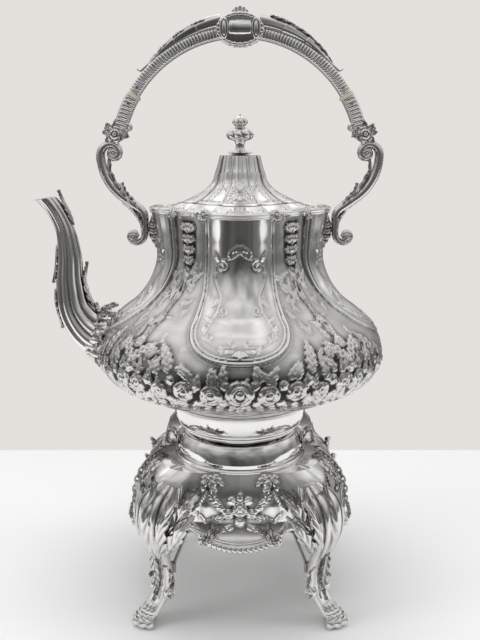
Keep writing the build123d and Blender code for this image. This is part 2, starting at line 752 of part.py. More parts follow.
def make_finial_nut():
    """Washer and nut on the stud inside the lid."""
    top = LID_TOP_Z - 1.25 * LID_WALL
    washer = Pos(0, 0, top - 0.75) * Cylinder(5, 0.9)
    nut = extrude(Plane.XY.offset(top - 4.6) * RegularPolygon(4, 6), 3.4)
    return (washer + nut) - Pos(0, 0, top) * Cylinder(STUD_R + HINGE_FIT, 20)


def hinge_axis():
    """Place of the lid's hinge pin: (y, z)."""
    return LID_REACH + HINGE_OUT, LID_Z + HINGE_RISE


def make_lid_knuckle(lid_outer):
    """Middle knuckle of the hinge, on a tongue fixed to the lid's edge."""
    y, z = hinge_axis()
    half = KNUCKLE_W / 2
    tongue = Pos(0, (LID_REACH - 4 + y) / 2, z - 0.5) * Box(KNUCKLE_W, y - LID_REACH + 4, 1.8)
    knuckle = (tongue + along_x(HINGE_R, y, z, -half, half)) - lid_outer
    knuckle -= along_x(HINGE_PIN_R + HINGE_FIT, y, z, -20, 20)
    return max(knuckle.solids(), key=lambda s: s.volume)


def make_hinge_leaf(deck):
    """Two outer knuckles on a leaf soldered to the top plate."""
    y, z = hinge_axis()
    half = KNUCKLE_W / 2 + KNUCKLE_GAP
    reach = half + 5
    leaf = Pos(0, y + 4.0, z - HINGE_R - 0.9) * Box(2 * reach, 6.0, 3.4)
    for side in (-1, 1):
        x0, x1 = sorted((side * half, side * reach))
        leaf += along_x(HINGE_R, y, z, x0, x1)
        leaf += Pos((x0 + x1) / 2, y + 1, z - HINGE_R / 2 - 0.6) * Box(x1 - x0, 3, HINGE_R + 1.2)
    leaf -= along_x(HINGE_PIN_R, y, z, -20, 20)
    leaf -= along_x(HINGE_R + KNUCKLE_GAP, y, z, -half, half)
    return max((leaf - deck).solids(), key=lambda s: s.volume)


def make_hinge_pin():
    """Pin of the lid's hinge, with a small head at each end."""
    y, z = hinge_axis()
    reach = KNUCKLE_W / 2 + KNUCKLE_GAP + 5
    pin = along_x(HINGE_PIN_R, y, z, -reach, reach)
    heads = [along_x(HINGE_PIN_R + 0.7, y, z, *sorted((s * reach, s * (reach + 0.8)))) for s in (-1, 1)]
    return pin + heads


# ---------------------------------------------------------------- spout
def spout_stations():
    """Stations of the spout: ((x, z), heading in degrees, radius)."""
    root_z = SPOUT_ROOT_Z
    tip_z = SPOUT_TIP_Z
    rise = tip_z - root_z
    far = SPOUT_REACH
    root = SPOUT_ROOT_R
    mouth = SPOUT_MOUTH_R
    return [
        ((-(BELLY_R - 9), root_z), 172, root + 1.5),
        ((-(BELLY_R + 6), root_z + 0.055 * rise), 150, root - 2.0),
        ((-(0.83 * far), root_z + 0.20 * rise), 112, 0.5 * root + 0.6 * mouth),
        ((-(0.853 * far), root_z + 0.40 * rise), 92, 0.27 * root + 0.9 * mouth),
        ((-(0.852 * far), root_z + 0.62 * rise), 90, 0.08 * root + 1.15 * mouth),
        ((-(0.87 * far), root_z + 0.80 * rise), 107, 1.12 * mouth),
        ((-(0.915 * far), root_z + 0.94 * rise), 124, 1.05 * mouth),
        ((-(0.985 * far), root_z + 1.06 * rise), 136, mouth),
    ]


def fluted(radius, depth, count):
    """A closed fluted outline: hollow flutes between ridges."""
    edges = []
    for i in range(count):
        a0, a1 = (2 * pi * k / count for k in (i, i + 1))
        middle = (a0 + a1) / 2
        low = radius * cos(pi / count) - depth
        edges.append(
            ThreePointArc(
                (radius * cos(a0), radius * sin(a0)),
                (low * cos(middle), low * sin(middle)),
                (radius * cos(a1), radius * sin(a1)),
            )
        )
    return Face(Wire(edges))


def spout_plane(station):
    """Plane across the spout at a station."""
    (x, z), heading, _ = station
    along = (cos(radians(heading)), 0, sin(radians(heading)))
    return Plane(origin=(x, 0, z), x_dir=(0, 1, 0), z_dir=along)


def spout_solid():
    """Outer form of the spout before its mouth is cut."""
    return loft([spout_plane(s) * fluted(s[2], 0.045 * s[2], SPOUT_FLUTES) for s in spout_stations()])


def mouth_cut():
    """Space above the spout's slanting mouth."""
    size = 2 * SPOUT_OUT
    block = Pos(0, 0, size / 2) * Box(size, size, size)
    return Pos(-SPOUT_REACH, 0, SPOUT_TIP_Z) * (Rot(0, SPOUT_MOUTH_DEG, 0) * block)


def make_spout(outer, kettle):
    """Fluted swan spout, hollow from the strainer to the beak."""
    bore = loft([spout_plane(s) * Circle(0.93 * s[2] - SPOUT_WALL) for s in spout_stations()])
    spout = outer - bore - kettle - mouth_cut()
    return max(spout.solids(), key=lambda s: s.volume)


def make_spout_socket(outer, kettle):
    """Rounded socket round the spout's root."""
    socket = Pos(-(BELLY_R - SOCKET_IN), 0, SPOUT_ROOT_Z - 1) * Sphere(SOCKET_R)
    socket = socket - kettle - outer
    return max(socket.solids(), key=lambda s: s.volume)


# ---------------------------------------------------------------- handle
def grip_section(grow=0.0):
    """Section of the grip, across and along the handle's plane."""
    return RectangleRounded(GRIP_W + grow, GRIP_T + grow, 1.6)


def on_arc(angle, radius=HANDLE_ARC_R):
    """A point of the handle's arc, as (x, z)."""
    return radius * cos(radians(angle)), ARC_Z + radius * sin(radians(angle))


def make_grip():
    """Upper arc of the handle between the insulators."""
    a, b = on_arc(GRIP_ANGLE), on_arc(180 - GRIP_ANGLE)
    arc = ThreePointArc((a[0], 0, a[1]), (0, 0, ARC_Z + HANDLE_ARC_R), (b[0], 0, b[1]))
    return swept_bar([arc], grip_section())


def insulator_span():
    """Angle that the insulator takes on the arc, in degrees."""
    return degrees(INSULATOR_T / HANDLE_ARC_R)


def make_insulator():
    """Ivory-coloured plate that keeps the grip cool, on the +X side."""
    a, b = on_arc(GRIP_ANGLE - insulator_span()), on_arc(GRIP_ANGLE)
    m = on_arc(GRIP_ANGLE - insulator_span() / 2)
    arc = ThreePointArc((a[0], 0, a[1]), (m[0], 0, m[1]), (b[0], 0, b[1]))
    return swept_bar([arc], grip_section(2 * INSULATOR_PROUD))


def stub_path():
    """Centre line of the short ribbed length under the insulator, on the +X side."""
    angle = GRIP_ANGLE - insulator_span()
    top = on_arc(angle)
    heading = angle - 90
    turn = -(90 + heading) + 6
    radius = STUB_DROP / radians(abs(turn))
    return scroll(top, heading, (radius, turn))


def make_stub():
    """Short ribbed length with a small scroll at its inner side."""
    edges = stub_path()
    bar = swept_bar(edges, grip_section())
    end = edges[-1] @ 1
    curl = cross_bar(3.1, end.X - GRIP_T / 2 - 0.4, end.Z + 1.5, -GRIP_W / 2, GRIP_W / 2)
    return bar + curl


def arm_path():
    """Scrolled arm on the +X side, from the eye of its upper volute to the eye of the lower one."""
    x = ARM_X
    z = TOP_Z + 39
    return scroll(
        (x - 8.6, z - 3.0),
        180,
        (3.6, -90),
        (5.6, -90),
        (7.0, -90),
        (36, -55),
        (12.5, 0),
        (8.4, 55),
        (10.5, 0),
        (6.8, 90),
        (4.7, 90),
        (3.4, 90),
    )


def make_arm(kettle):
    """Scrolled arm of the handle with a rosette in the eye of each volute."""
    edges = arm_path()
    bar = swept_bar(edges, RectangleRounded(ARM_W, ARM_T, 1.2))
    upper = edges[0].arc_center
    lower = edges[-1].arc_center
    eyes = [cross_bar(3.0, c.X, c.Z, -ARM_W / 2 - 0.8, ARM_W / 2 + 0.8) for c in (upper, lower)]
    return (bar + eyes) - kettle


def make_bracket(kettle, arm):
    """Leaf bracket between the kettle's neck and the arm, on the +X side."""
    left = (arm_path()[5] @ 1).X
    low, high = WAIST_Z + 4, TOP_Z - 1.5
    face = make_face([
        Line((NECK_REACH - 4, low), (NECK_REACH - 4, high)),
        Spline((NECK_REACH - 4, high), (left - 1, high - 4), (left + 0.5, high - 12)),
        Spline((left + 0.5, high - 12), (left - 0.5, low + 8), (NECK_REACH - 4, low)),
    ])
    bracket = front_plate(face, ARM_W + 3) - kettle - arm
    return max(bracket.solids(), key=lambda s: s.volume)


def make_flower(arm, stub):
    """Flower and leaves where the stub meets the scrolled arm, on the +X side."""
    end = stub_path()[-1] @ 1
    x, z = end.X + 3.5, end.Z - 3.5
    flower = Pos(x, 0, z) * Sphere(FLOWER_R)
    for i in range(5):
        angle = radians(72 * i + 30)
        flower += Pos(x + 5.6 * cos(angle), 0, z + 5.6 * sin(angle)) * Sphere(3.7)
    flower = flower - stub - arm
    return max(flower.solids(), key=lambda s: s.volume)


def make_cartouche(grip, crests):
    """Oval cartouche round the top of the grip, with a smooth barrel across it."""
    centre = ARC_Z + HANDLE_ARC_R + 1.5
    oval = front_plate(Pos(0, centre) * Ellipse(CARTOUCHE_A, CARTOUCHE_B), CARTOUCHE_W - 3)
    barrel = along_x(CARTOUCHE_W / 2, 0, centre + 1, -9, 9)
    bosses = [front_plate(Pos(s * 11, centre) * Ellipse(2.2, 5.4), CARTOUCHE_W + 1.4) for s in (-1, 1)]
    return (oval + barrel + bosses) - grip - crests


def make_crests(grip):
    """Leaf ridge over the grip, tapering to a tip on each side."""
    outer_z = ARC_Z + HANDLE_ARC_R + GRIP_T / 2 + CREST_PROUD - CREST_R
    disc = front_plate(Pos(0, outer_z) * Circle(CREST_R), CREST_W)
    inner = front_plate(Pos(0, ARC_Z) * Circle(HANDLE_ARC_R + GRIP_T / 2), CREST_W + 2)
    ridge = disc - inner - grip
    above = Pos(0, 0, ARC_Z + 0.83 * HANDLE_ARC_R + 100) * Box(400, 40, 200)
    ridge &= above
    hole = along_x(CARTOUCHE_W / 2, 0, ARC_Z + HANDLE_ARC_R + 2.5, -9, 9)
    return ridge - hole


def make_fan(cartouche, crests):
    """Fan-shaped shell on top of the handle."""
    z = ARC_Z + HANDLE_ARC_R + GRIP_T / 2 + CREST_PROUD - 1.5
    fan = front_plate(Pos(0, z) * Circle(0.72 * FAN_R), 3.4)
    for i in range(FAN_LOBES):
        angle = radians(90 + 36 * (i - (FAN_LOBES - 1) / 2))
        centre = (0.72 * FAN_R * cos(angle), z + 0.72 * FAN_R * sin(angle))
        fan += front_plate(Pos(*centre) * Circle(0.27 * FAN_R), 4.0)
    fan = fan - cartouche - crests
    return max(fan.solids(), key=lambda s: s.volume)


def make_handle_pins():
    """Cross pins that hold the insulators' tongues, two at each side."""
    pins = []
    for base in (GRIP_ANGLE + 3.2, GRIP_ANGLE - insulator_span() - 3.2):
        for angle in (base, 180 - base):
            x, z = on_arc(angle)
            pins.append(cross_bar(1.0, x, z, -GRIP_W / 2 - 0.5, GRIP_W / 2 + 0.5))
    return pins


# ---------------------------------------------------------------- tilt hinge, lock pin, chains
def make_stand_lug(collar, body):
    """Pair of ears on the stand's shoulder, at the +X side."""
    inner = BARREL_W / 2 + EAR_GAP
    outer = inner + EAR_T
    low = SHOULDER_TOP - 6
    lug = None
    for y0, y1 in ((-outer, -inner), (inner, outer)):
        ear = cross_bar(BARREL_R, PIVOT_X, PIN_Z, y0, y1)
        web = Pos(PIVOT_X, (y0 + y1) / 2, (low + PIN_Z) / 2) * Box(1.7 * BARREL_R, EAR_T, PIN_Z - low)
        lug = ear + web if lug is None else lug + [ear, web]
    leaf = make_face([Polyline(
        (PIVOT_X - 3, SHOULDER_TOP - 2),
        (PIVOT_X + 3, PIN_Z - 6),
        (PIVOT_X + 7, PIN_Z - 8.5),
        (STAND_SIDE * 0.86, SHOULDER_TOP - 4),
        (STAND_SIDE * 0.80, SHOULDER_TOP - 6),
        (PIVOT_X - 3, SHOULDER_TOP - 2),
    )])
    lug += front_plate(leaf, 2 * outer)
    lug -= cross_bar(PIN_R + PIN_FIT, PIVOT_X, PIN_Z, -30, 30)
    return max((lug - collar - body).solids(), key=lambda s: s.volume)


def make_kettle_lug(foot, kettle, open_below):
    """Kettle's half of a hinge at the +X side: a barrel, or a saddle that lifts off its pin."""
    half = BARREL_W / 2
    lug = cross_bar(BARREL_R, PIVOT_X, PIN_Z, -half, half)
    web = make_face([Polyline(
        (PIVOT_X + 1.5, PIN_Z + 2.5),
        (PIVOT_X + 1.5, PIN_Z + 9),
        (FOOT_TOP_R - 8, BASE_Z + 0.5 * FOOT_H + 4),
        (FOOT_TOP_R - 8, BASE_Z + 9),
        (PIVOT_X - 3.2, PIN_Z + 2.0),
        (PIVOT_X + 1.5, PIN_Z + 2.5),
    )])
    lug += front_plate(web, 2 * half)
    lug -= cross_bar(PIN_R + (SADDLE_GAP if open_below else PIN_FIT), PIVOT_X, PIN_Z, -30, 30)
    if open_below:
        slot = 2 * (PIN_R + SADDLE_GAP)
        lug -= Pos(PIVOT_X, 0, PIN_Z - BARREL_R) * Box(slot, 4 * half, 2 * BARREL_R)
    lug = lug - foot - kettle - foot_core()
    return max(lug.solids(), key=lambda s: s.volume)


def foot_core():
    """The space inside the kettle's foot, which nothing enters."""
    return plug(FOOT_TOP_R - 6.5, BASE_Z - 1, BOWL_Z + 1)


def make_lock_pin():
    """Pin through a hinge at the +X side, with a ring at its front end."""
    outer = BARREL_W / 2 + EAR_GAP + EAR_T
    pin = cross_bar(PIN_R, PIVOT_X, PIN_Z, -outer - 1.2, outer + 2)
    pin += cross_bar(PIN_R + 1.0, PIVOT_X, PIN_Z, -outer - 2.6, -outer - 0.35)
    pin += ring_at(PIVOT_X, -outer - 2.0, PIN_Z - PIN_RING_R + 0.4)
    return pin


def ring_at(x, y, z):
    """Wire ring in the plane across Y."""
    band = Circle(PIN_RING_R) - Circle(PIN_RING_R - 2 * WIRE_R)
    plane = Plane(origin=(x, y + WIRE_R, z), x_dir=(1, 0, 0), z_dir=(0, -1, 0))
    return extrude(plane * band, 2 * WIRE_R)


def chain_points():
    """Places along a chain at the +X side: from the pin's ring, over the shoulder, to the knee."""
    outer = BARREL_W / 2 + EAR_GAP + EAR_T
    start = Vector(PIVOT_X + 5.0, -outer - 2.0, PIN_Z - 2 * PIN_RING_R - 2.4)
    middle = Vector(0.945 * STAND_SIDE, -31, SHOULDER_TOP - 7)
    end = Vector(KNEE_OUT + 8.0, -(KNEE_OUT - 13), KNEE_Z + 8)
    return start, middle, end


def chain_link(place, along, turn):
    """One flat-sided link, long along the chain."""
    loop = SlotOverall(LINK_L, LINK_W) - SlotOverall(LINK_L - 2 * LINK_WIRE, LINK_W - 2 * LINK_WIRE)
    up = Vector(0, 0, 1)
    side = along.cross(up).normalized()
    normal = side if turn else side.cross(along).normalized()
    plane = Plane(origin=place, x_dir=along, z_dir=normal)
    return extrude(plane * loop, LINK_WIRE / 2, both=True)


def make_chain():
    """Chain of separate links at the +X side."""
    start, middle, end = chain_points()
    path = ThreePointArc(start, middle, end)
    pitch = LINK_L - 2 * LINK_WIRE - LINK_PLAY
    count = int(path.length / pitch)
    links = []
    for i in range(count):
        share = (i + 0.5) / count
        links.append(chain_link(path @ share, path % share, i % 2))
    return links


def make_chain_eye():
    """Small staple on the knee that the chain ends in, at the +X side."""
    end = chain_points()[2]
    plane = Plane(origin=(end.X - 1.2, end.Y, end.Z - 3.4), x_dir=(1, 0, 0), z_dir=(0, -1, 0))
    loop = Circle(2.0) - Circle(1.0)
    return extrude(plane * loop, 0.5, both=True)


# ---------------------------------------------------------------- assembly
def on_left(piece):
    """The same piece at the -X side."""
    return mirror(piece, Plane.YZ)


def build_parts():
    """Every node of the model, by name, on the kettle's own axis."""
    parts = {}
    kettle = kettle_solid()
    body = make_stand_body()
    collar = make_stand_collar()
    parts["stand_body"] = body
    parts["stand_collar"] = collar
    parts["apron_borders"] = make_apron_borders(body)
    leg = make_leg()
    back_leg = mirror(leg, Plane.XZ)
    parts["leg_front_right"] = leg
    parts["leg_front_left"] = on_left(leg)
    parts["leg_back_right"] = back_leg
    parts["leg_back_left"] = on_left(back_leg)
    parts["cradle_ring"] = make_cradle_ring()
    parts["cradle_rods"] = make_cradle_rods()
    parts["lamp_font"] = make_lamp_font()
    parts["burner_collar"] = make_burner_collar()
    parts["wick"] = make_wick()
    parts["snuffer_bracket"] = make_snuffer_bracket()
    parts["snuffer_cap"] = make_snuffer()

    parts["kettle_shell"] = make_kettle_shell(kettle)
    foot = make_kettle_foot()
    parts["kettle_foot"] = foot
    shells = make_rim_shells()
    parts["rim_moulding"] = make_rim(shells)
    parts["rim_shells"] = Compound(children=shells)
    deck = make_deck()
    parts["top_plate"] = deck
    parts["lid_seat"] = make_lid_seat()
    spout_outer = spout_solid()
    parts["spout"] = make_spout(spout_outer, kettle)
    parts["spout_socket"] = make_spout_socket(spout_outer, kettle)

    lid_outer = lid_solid()
    parts["lid"] = make_lid(lid_outer)
    parts["lid_knuckle"] = make_lid_knuckle(lid_outer)
    parts["hinge_leaf"] = make_hinge_leaf(deck)
    parts["hinge_pin"] = make_hinge_pin()
    parts["finial_disc"] = make_finial_disc()
    parts["finial"] = make_finial()
    parts["finial_nut"] = make_finial_nut()

    pins = make_handle_pins()
    grip = make_grip() - pins
    crests = make_crests(grip)
    cartouche = make_cartouche(grip, crests)
    parts["handle_grip"] = grip
    parts["handle_crest"] = crests
    parts["cartouche"] = cartouche
    parts["handle_fan"] = make_fan(cartouche, crests)
    insulator = make_insulator()
    stub = make_stub() - pins
    arm = make_arm(kettle)
    bracket = make_bracket(kettle, arm)
    flower = make_flower(arm, stub)
    for name, piece in (
        ("insulator", insulator),
        ("handle_stub", stub),
        ("handle_arm", arm),
        ("arm_bracket", bracket),
        ("handle_flower", flower),
    ):
        parts[name + "_right"] = piece
        parts[name + "_left"] = on_left(piece)
    parts["handle_pins"] = Compound(children=pins)

    stand_lug = make_stand_lug(collar, body)
    parts["stand_lug_right"] = stand_lug
    parts["stand_lug_left"] = on_left(stand_lug)
    parts["kettle_lug_right"] = make_kettle_lug(foot, kettle, True)
    parts["kettle_lug_left"] = on_left(make_kettle_lug(foot, kettle, False))
    pin = make_lock_pin()
    parts["lock_pin_right"] = pin
    parts["lock_pin_left"] = on_left(pin)
    links = make_chain()
    eye = make_chain_eye()
    parts["chain_right"] = Compound(children=links)
    parts["chain_left"] = Compound(children=[on_left(link) for link in links])
    parts["chain_eyes"] = Compound(children=[eye, on_left(eye)])
    return parts


def main():
    """Write one STEP file for each node."""
    os.makedirs("parts", exist_ok=True)
    for name, piece in build_parts().items():
        solids = [Pos(ORIGIN_X, 0, 0) * solid for solid in piece.solids()]
        export_step(solids[0] if len(solids) == 1 else Compound(solids), "parts/" + name + ".step")


main()
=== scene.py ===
"""Looks of a chased silver spirit kettle on its burner stand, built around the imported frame.

Sizes are millimetres on the kettle's own upright axis; meshes are written in metres in the row's frame.
The spout points to -X, the lid's hinge is at +Y and the feet stand on Z = 0.
"""
from __future__ import annotations

import json
import logging
import math
from dataclasses import dataclass, field
from enum import Enum
from typing import Callable, Iterable, Sequence

import bpy
import numpy as np
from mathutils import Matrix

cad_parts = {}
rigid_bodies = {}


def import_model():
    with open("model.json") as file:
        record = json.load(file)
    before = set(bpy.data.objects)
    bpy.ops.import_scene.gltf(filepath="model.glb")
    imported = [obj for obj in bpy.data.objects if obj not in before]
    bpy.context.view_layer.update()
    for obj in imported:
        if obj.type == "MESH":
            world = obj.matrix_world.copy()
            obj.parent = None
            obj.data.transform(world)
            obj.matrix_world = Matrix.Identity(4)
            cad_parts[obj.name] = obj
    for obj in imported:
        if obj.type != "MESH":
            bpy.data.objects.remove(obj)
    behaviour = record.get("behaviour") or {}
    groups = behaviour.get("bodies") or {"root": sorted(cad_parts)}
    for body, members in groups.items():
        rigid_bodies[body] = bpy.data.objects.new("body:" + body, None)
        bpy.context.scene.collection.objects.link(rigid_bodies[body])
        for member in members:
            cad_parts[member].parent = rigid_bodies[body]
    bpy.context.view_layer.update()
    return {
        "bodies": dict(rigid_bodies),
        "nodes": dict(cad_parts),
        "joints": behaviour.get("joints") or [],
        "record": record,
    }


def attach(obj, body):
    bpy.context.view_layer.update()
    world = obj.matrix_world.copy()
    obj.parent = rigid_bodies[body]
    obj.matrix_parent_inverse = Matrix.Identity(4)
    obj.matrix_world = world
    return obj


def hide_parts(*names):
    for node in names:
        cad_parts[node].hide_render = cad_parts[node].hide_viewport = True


LOG = logging.getLogger("kettle")
AXIS_X = 20.75            # kettle axis in the row's frame
MM = 0.001
Array = np.ndarray
Shape = Callable[[Array, Array], Array]
Points = Sequence[Sequence[float]]
Tree = bpy.types.NodeTree
Socket = bpy.types.NodeSocket
UP = np.array((0.0, 0.0, 1.0))
DIAGONAL = np.array((1, -1, 0)) / math.sqrt(2)
CROSSWISE = np.array((1, 1, 0)) / math.sqrt(2)


class Body(str, Enum):
    """Bodies of the frame that pieces ride on."""

    STAND = "stand"
    KETTLE = "kettle"
    LID = "lid"
    BURNER = "burner"


class Slot(str, Enum):
    """Material slots of the record."""

    SILVER = "silver"
    IVORY = "insulator"


# ---------------------------------------------------------------- node groups and finishes
def new_group(name: str, inputs: Sequence[tuple], outputs: Sequence[tuple]) -> Tree:
    """Start a shader node group.

    Args:
        name: name of the group.
        inputs: (name, socket type, default) of each input.
        outputs: (name, socket type) of each output.

    Returns:
        The node tree, with its group input and output nodes named "in" and "out".
    """
    tree = bpy.data.node_groups.new(name, "ShaderNodeTree")
    for label, kind, default in inputs:
        socket = tree.interface.new_socket(label, in_out="INPUT", socket_type=kind)
        socket.default_value = default
    for label, kind in outputs:
        tree.interface.new_socket(label, in_out="OUTPUT", socket_type=kind)
    tree.nodes.new("NodeGroupInput").name = "in"
    tree.nodes.new("NodeGroupOutput").name = "out"
    return tree


def noise_node(tree: Tree, scale: float, detail: float, rough: float = 0.5) -> bpy.types.Node:
    """Add a noise texture on object coordinates to a tree."""
    coords = tree.nodes.new("ShaderNodeTexCoord")
    node = tree.nodes.new("ShaderNodeTexNoise")
    node.inputs["Scale"].default_value = scale
    node.inputs["Detail"].default_value = detail
    node.inputs["Roughness"].default_value = rough
    tree.links.new(coords.outputs["Object"], node.inputs["Vector"])
    return node


def feed(tree: Tree, socket: Socket, value: object) -> None:
    """Link a socket to another one, or set its value."""
    if isinstance(value, Socket):
        tree.links.new(value, socket)
    else:
        socket.default_value = value


def math_node(tree: Tree, kind: str, a: object, b: object, clamp: bool = False) -> Socket:
    """Add a math node whose inputs are sockets or numbers.

    Args:
        tree: tree to add to.
        kind: operation of the node.
        a: first input.
        b: second input.
        clamp: whether the result is held between 0 and 1.

    Returns:
        The node's output socket.
    """
    node = tree.nodes.new("ShaderNodeMath")
    node.operation = kind
    node.use_clamp = clamp
    for i, value in enumerate((a, b)):
        feed(tree, node.inputs[i], value)
    return node.outputs[0]


def mix_node(tree: Tree, share: object, a: object, b: object,
             blend: str = "MIX") -> Socket:
    """Mix two colours, each a socket or a value, and give the socket of the result."""
    node = tree.nodes.new("ShaderNodeMix")
    node.data_type = "RGBA"
    node.blend_type = blend
    for label, value in (("Factor", share), ("A", a), ("B", b)):
        feed(tree, node.inputs[label], value)
    return node.outputs["Result"]


def tarnish_group() -> Tree:
    """Group: dark oxide in the recesses and a faint cloudy film, as colour and roughness."""
    tree = new_group(
        "recess_tarnish",
        [
            ("Recess", "NodeSocketFloat", 0.0),
            ("Film", "NodeSocketFloat", 0.15),
            ("Gloss", "NodeSocketFloat", 0.1),
            ("Metal", "NodeSocketColor", (0.9, 0.9, 0.88, 1)),
            ("Oxide", "NodeSocketColor", (0.05, 0.045, 0.04, 1)),
        ],
        [("Color", "NodeSocketColor"), ("Roughness", "NodeSocketFloat")],
    )
    source, sink = tree.nodes["in"], tree.nodes["out"]
    grain = noise_node(tree, 420, 4, 0.6)
    cloud = noise_node(tree, 38, 3, 0.55)
    wobble = math_node(tree, "MULTIPLY_ADD", grain.outputs["Fac"], 0.5)
    wobble.node.inputs[2].default_value = 0.75
    depth = math_node(tree, "MULTIPLY", source.outputs["Recess"], wobble, clamp=True)
    film = math_node(tree, "SUBTRACT", cloud.outputs["Fac"], 0.42, clamp=True)
    film = math_node(tree, "MULTIPLY", film, source.outputs["Film"])
    amount = math_node(tree, "ADD", depth, film, clamp=True)
    colour = mix_node(tree, amount, source.outputs["Metal"], source.outputs["Oxide"])
    tree.links.new(colour, sink.inputs["Color"])
    rough = math_node(tree, "MULTIPLY", amount, 0.42)
    rough = math_node(tree, "ADD", rough, source.outputs["Gloss"], clamp=True)
    tree.links.new(rough, sink.inputs["Roughness"])
    return tree


def polish_group() -> Tree:
    """Group: hairline polishing marks and shallow planishing dents, as a height for a bump node."""
    tree = new_group(
        "hand_polish",
        [("Dents", "NodeSocketFloat", 0.5), ("Hairlines", "NodeSocketFloat", 0.2)],
        [("Height", "NodeSocketFloat")],
    )
    source, sink = tree.nodes["in"], tree.nodes["out"]
    dents = noise_node(tree, 75, 1, 0.4)
    lines = noise_node(tree, 1500, 2, 0.7)
    first = math_node(tree, "MULTIPLY", dents.outputs["Fac"], source.outputs["Dents"])
    second = math_node(tree, "MULTIPLY", lines.outputs["Fac"], source.outputs["Hairlines"])
    tree.links.new(math_node(tree, "ADD", first, second), sink.inputs["Height"])
    return tree


def wear_group() -> Tree:
    """Group: colour that varies softly between two tones with fine grain, with matching roughness."""
    tree = new_group(
        "soft_wear",
        [
            ("Tone", "NodeSocketColor", (0.8, 0.8, 0.8, 1)),
            ("Stain", "NodeSocketColor", (0.6, 0.5, 0.4, 1)),
            ("Gloss", "NodeSocketFloat", 0.3),
            ("Scale", "NodeSocketFloat", 120.0),
        ],
        [("Color", "NodeSocketColor"), ("Roughness", "NodeSocketFloat"), ("Height", "NodeSocketFloat")],
    )
    source, sink = tree.nodes["in"], tree.nodes["out"]
    grain = noise_node(tree, 120, 5, 0.62)
    tree.links.new(source.outputs["Scale"], grain.inputs["Scale"])
    mask = math_node(tree, "SUBTRACT", grain.outputs["Fac"], 0.35, clamp=True)
    colour = mix_node(tree, mask, source.outputs["Tone"], source.outputs["Stain"])
    tree.links.new(colour, sink.inputs["Color"])
    rough = math_node(tree, "MULTIPLY", mask, 0.3)
    tree.links.new(math_node(tree, "ADD", rough, source.outputs["Gloss"]), sink.inputs["Roughness"])
    tree.links.new(grain.outputs["Fac"], sink.inputs["Height"])
    return tree


def add_bump(mat: bpy.types.Material, height: Socket, strength: float, distance: float) -> None:
    """Feed a height into the material's normal through a bump node."""
    tree = mat.node_tree
    bump = tree.nodes.new("ShaderNodeBump")
    bump.inputs["Strength"].default_value = strength
    bump.inputs["Distance"].default_value = distance
    tree.links.new(height, bump.inputs["Height"])
    tree.links.new(bump.outputs["Normal"], tree.nodes["Principled BSDF"].inputs["Normal"])


def place_group(mat: bpy.types.Material, group: Tree, values: dict) -> bpy.types.Node:
    """Put a node group in a material and set its inputs."""
    node = mat.node_tree.nodes.new("ShaderNodeGroup")
    node.node_tree = group
    for label, value in values.items():
        node.inputs[label].default_value = value
    return node


@dataclass(frozen=True)
class SilverFinish:
    """Polished or chased silver with oxide held in its recesses."""

    name: str
    metal: tuple = (0.93, 0.92, 0.90, 1)
    oxide: tuple = (0.055, 0.050, 0.044, 1)
    gloss: float = 0.09
    film: float = 0.25
    dents: float = 0.4
    hairlines: float = 0.02
    bump: float = 0.10

    def build(self, groups: dict) -> bpy.types.Material:
        """Make the material."""
        mat = bpy.data.materials.new(self.name)
        mat.use_nodes = True
        tree = mat.node_tree
        shader = tree.nodes["Principled BSDF"]
        shader.inputs["Metallic"].default_value = 1.0
        recess = tree.nodes.new("ShaderNodeAttribute")
        recess.attribute_name = "recess"
        values = {"Film": self.film, "Gloss": self.gloss, "Metal": self.metal, "Oxide": self.oxide}
        tarnish = place_group(mat, groups["tarnish"], values)
        tree.links.new(recess.outputs["Fac"], tarnish.inputs["Recess"])
        tree.links.new(tarnish.outputs["Color"], shader.inputs["Base Color"])
        tree.links.new(tarnish.outputs["Roughness"], shader.inputs["Roughness"])
        polish = place_group(mat, groups["polish"], {"Dents": self.dents, "Hairlines": self.hairlines})
        add_bump(mat, polish.outputs["Height"], self.bump, 0.0006)
        return mat


@dataclass(frozen=True)
class PlainFinish:
    """Brass, bone or cotton: a tone with soft stains and grain."""

    name: str
    tone: tuple
    stain: tuple
    gloss: float = 0.3
    metallic: float = 0.0
    scale: float = 120.0
    bump: float = 0.2
    sheen: float = 0.0

    def build(self, groups: dict) -> bpy.types.Material:
        """Make the material."""
        mat = bpy.data.materials.new(self.name)
        mat.use_nodes = True
        tree = mat.node_tree
        shader = tree.nodes["Principled BSDF"]
        shader.inputs["Metallic"].default_value = self.metallic
        shader.inputs["Sheen Weight"].default_value = self.sheen
        values = {"Tone": self.tone, "Stain": self.stain, "Gloss": self.gloss, "Scale": self.scale}
        wear = place_group(mat, groups["wear"], values)
        tree.links.new(wear.outputs["Color"], shader.inputs["Base Color"])
        tree.links.new(wear.outputs["Roughness"], shader.inputs["Roughness"])
        add_bump(mat, wear.outputs["Height"], self.bump, 0.0004)
        return mat


FINISHES = (
    SilverFinish("polished_silver"),
    SilverFinish("chased_silver", gloss=0.12, film=0.3, dents=0.5),
    SilverFinish("cast_silver", gloss=0.16, film=0.45, metal=(0.88, 0.87, 0.85, 1), dents=0.7),
    # Heavily tarnished silver whose dark grey tone and thick cloudy film are mostly painted shade and painted dark
    # reflection: they stand in for the black look of the thin cradle rods and chains, which face away from the light
    # and reflect the dark room
    SilverFinish("shade_painted_silver", gloss=0.3, film=1.5, metal=(0.50, 0.48, 0.46, 1)),
    PlainFinish("bone_insulator", (0.80, 0.76, 0.66, 1), (0.62, 0.52, 0.38, 1), gloss=0.28, scale=300),
    PlainFinish("worn_brass", (0.72, 0.56, 0.28, 1), (0.36, 0.25, 0.12, 1), gloss=0.24, metallic=1.0),
    PlainFinish("cotton_wick", (0.85, 0.82, 0.74, 1), (0.40, 0.33, 0.26, 1), 0.9, 0.0, 700, 0.9, 0.4),
)


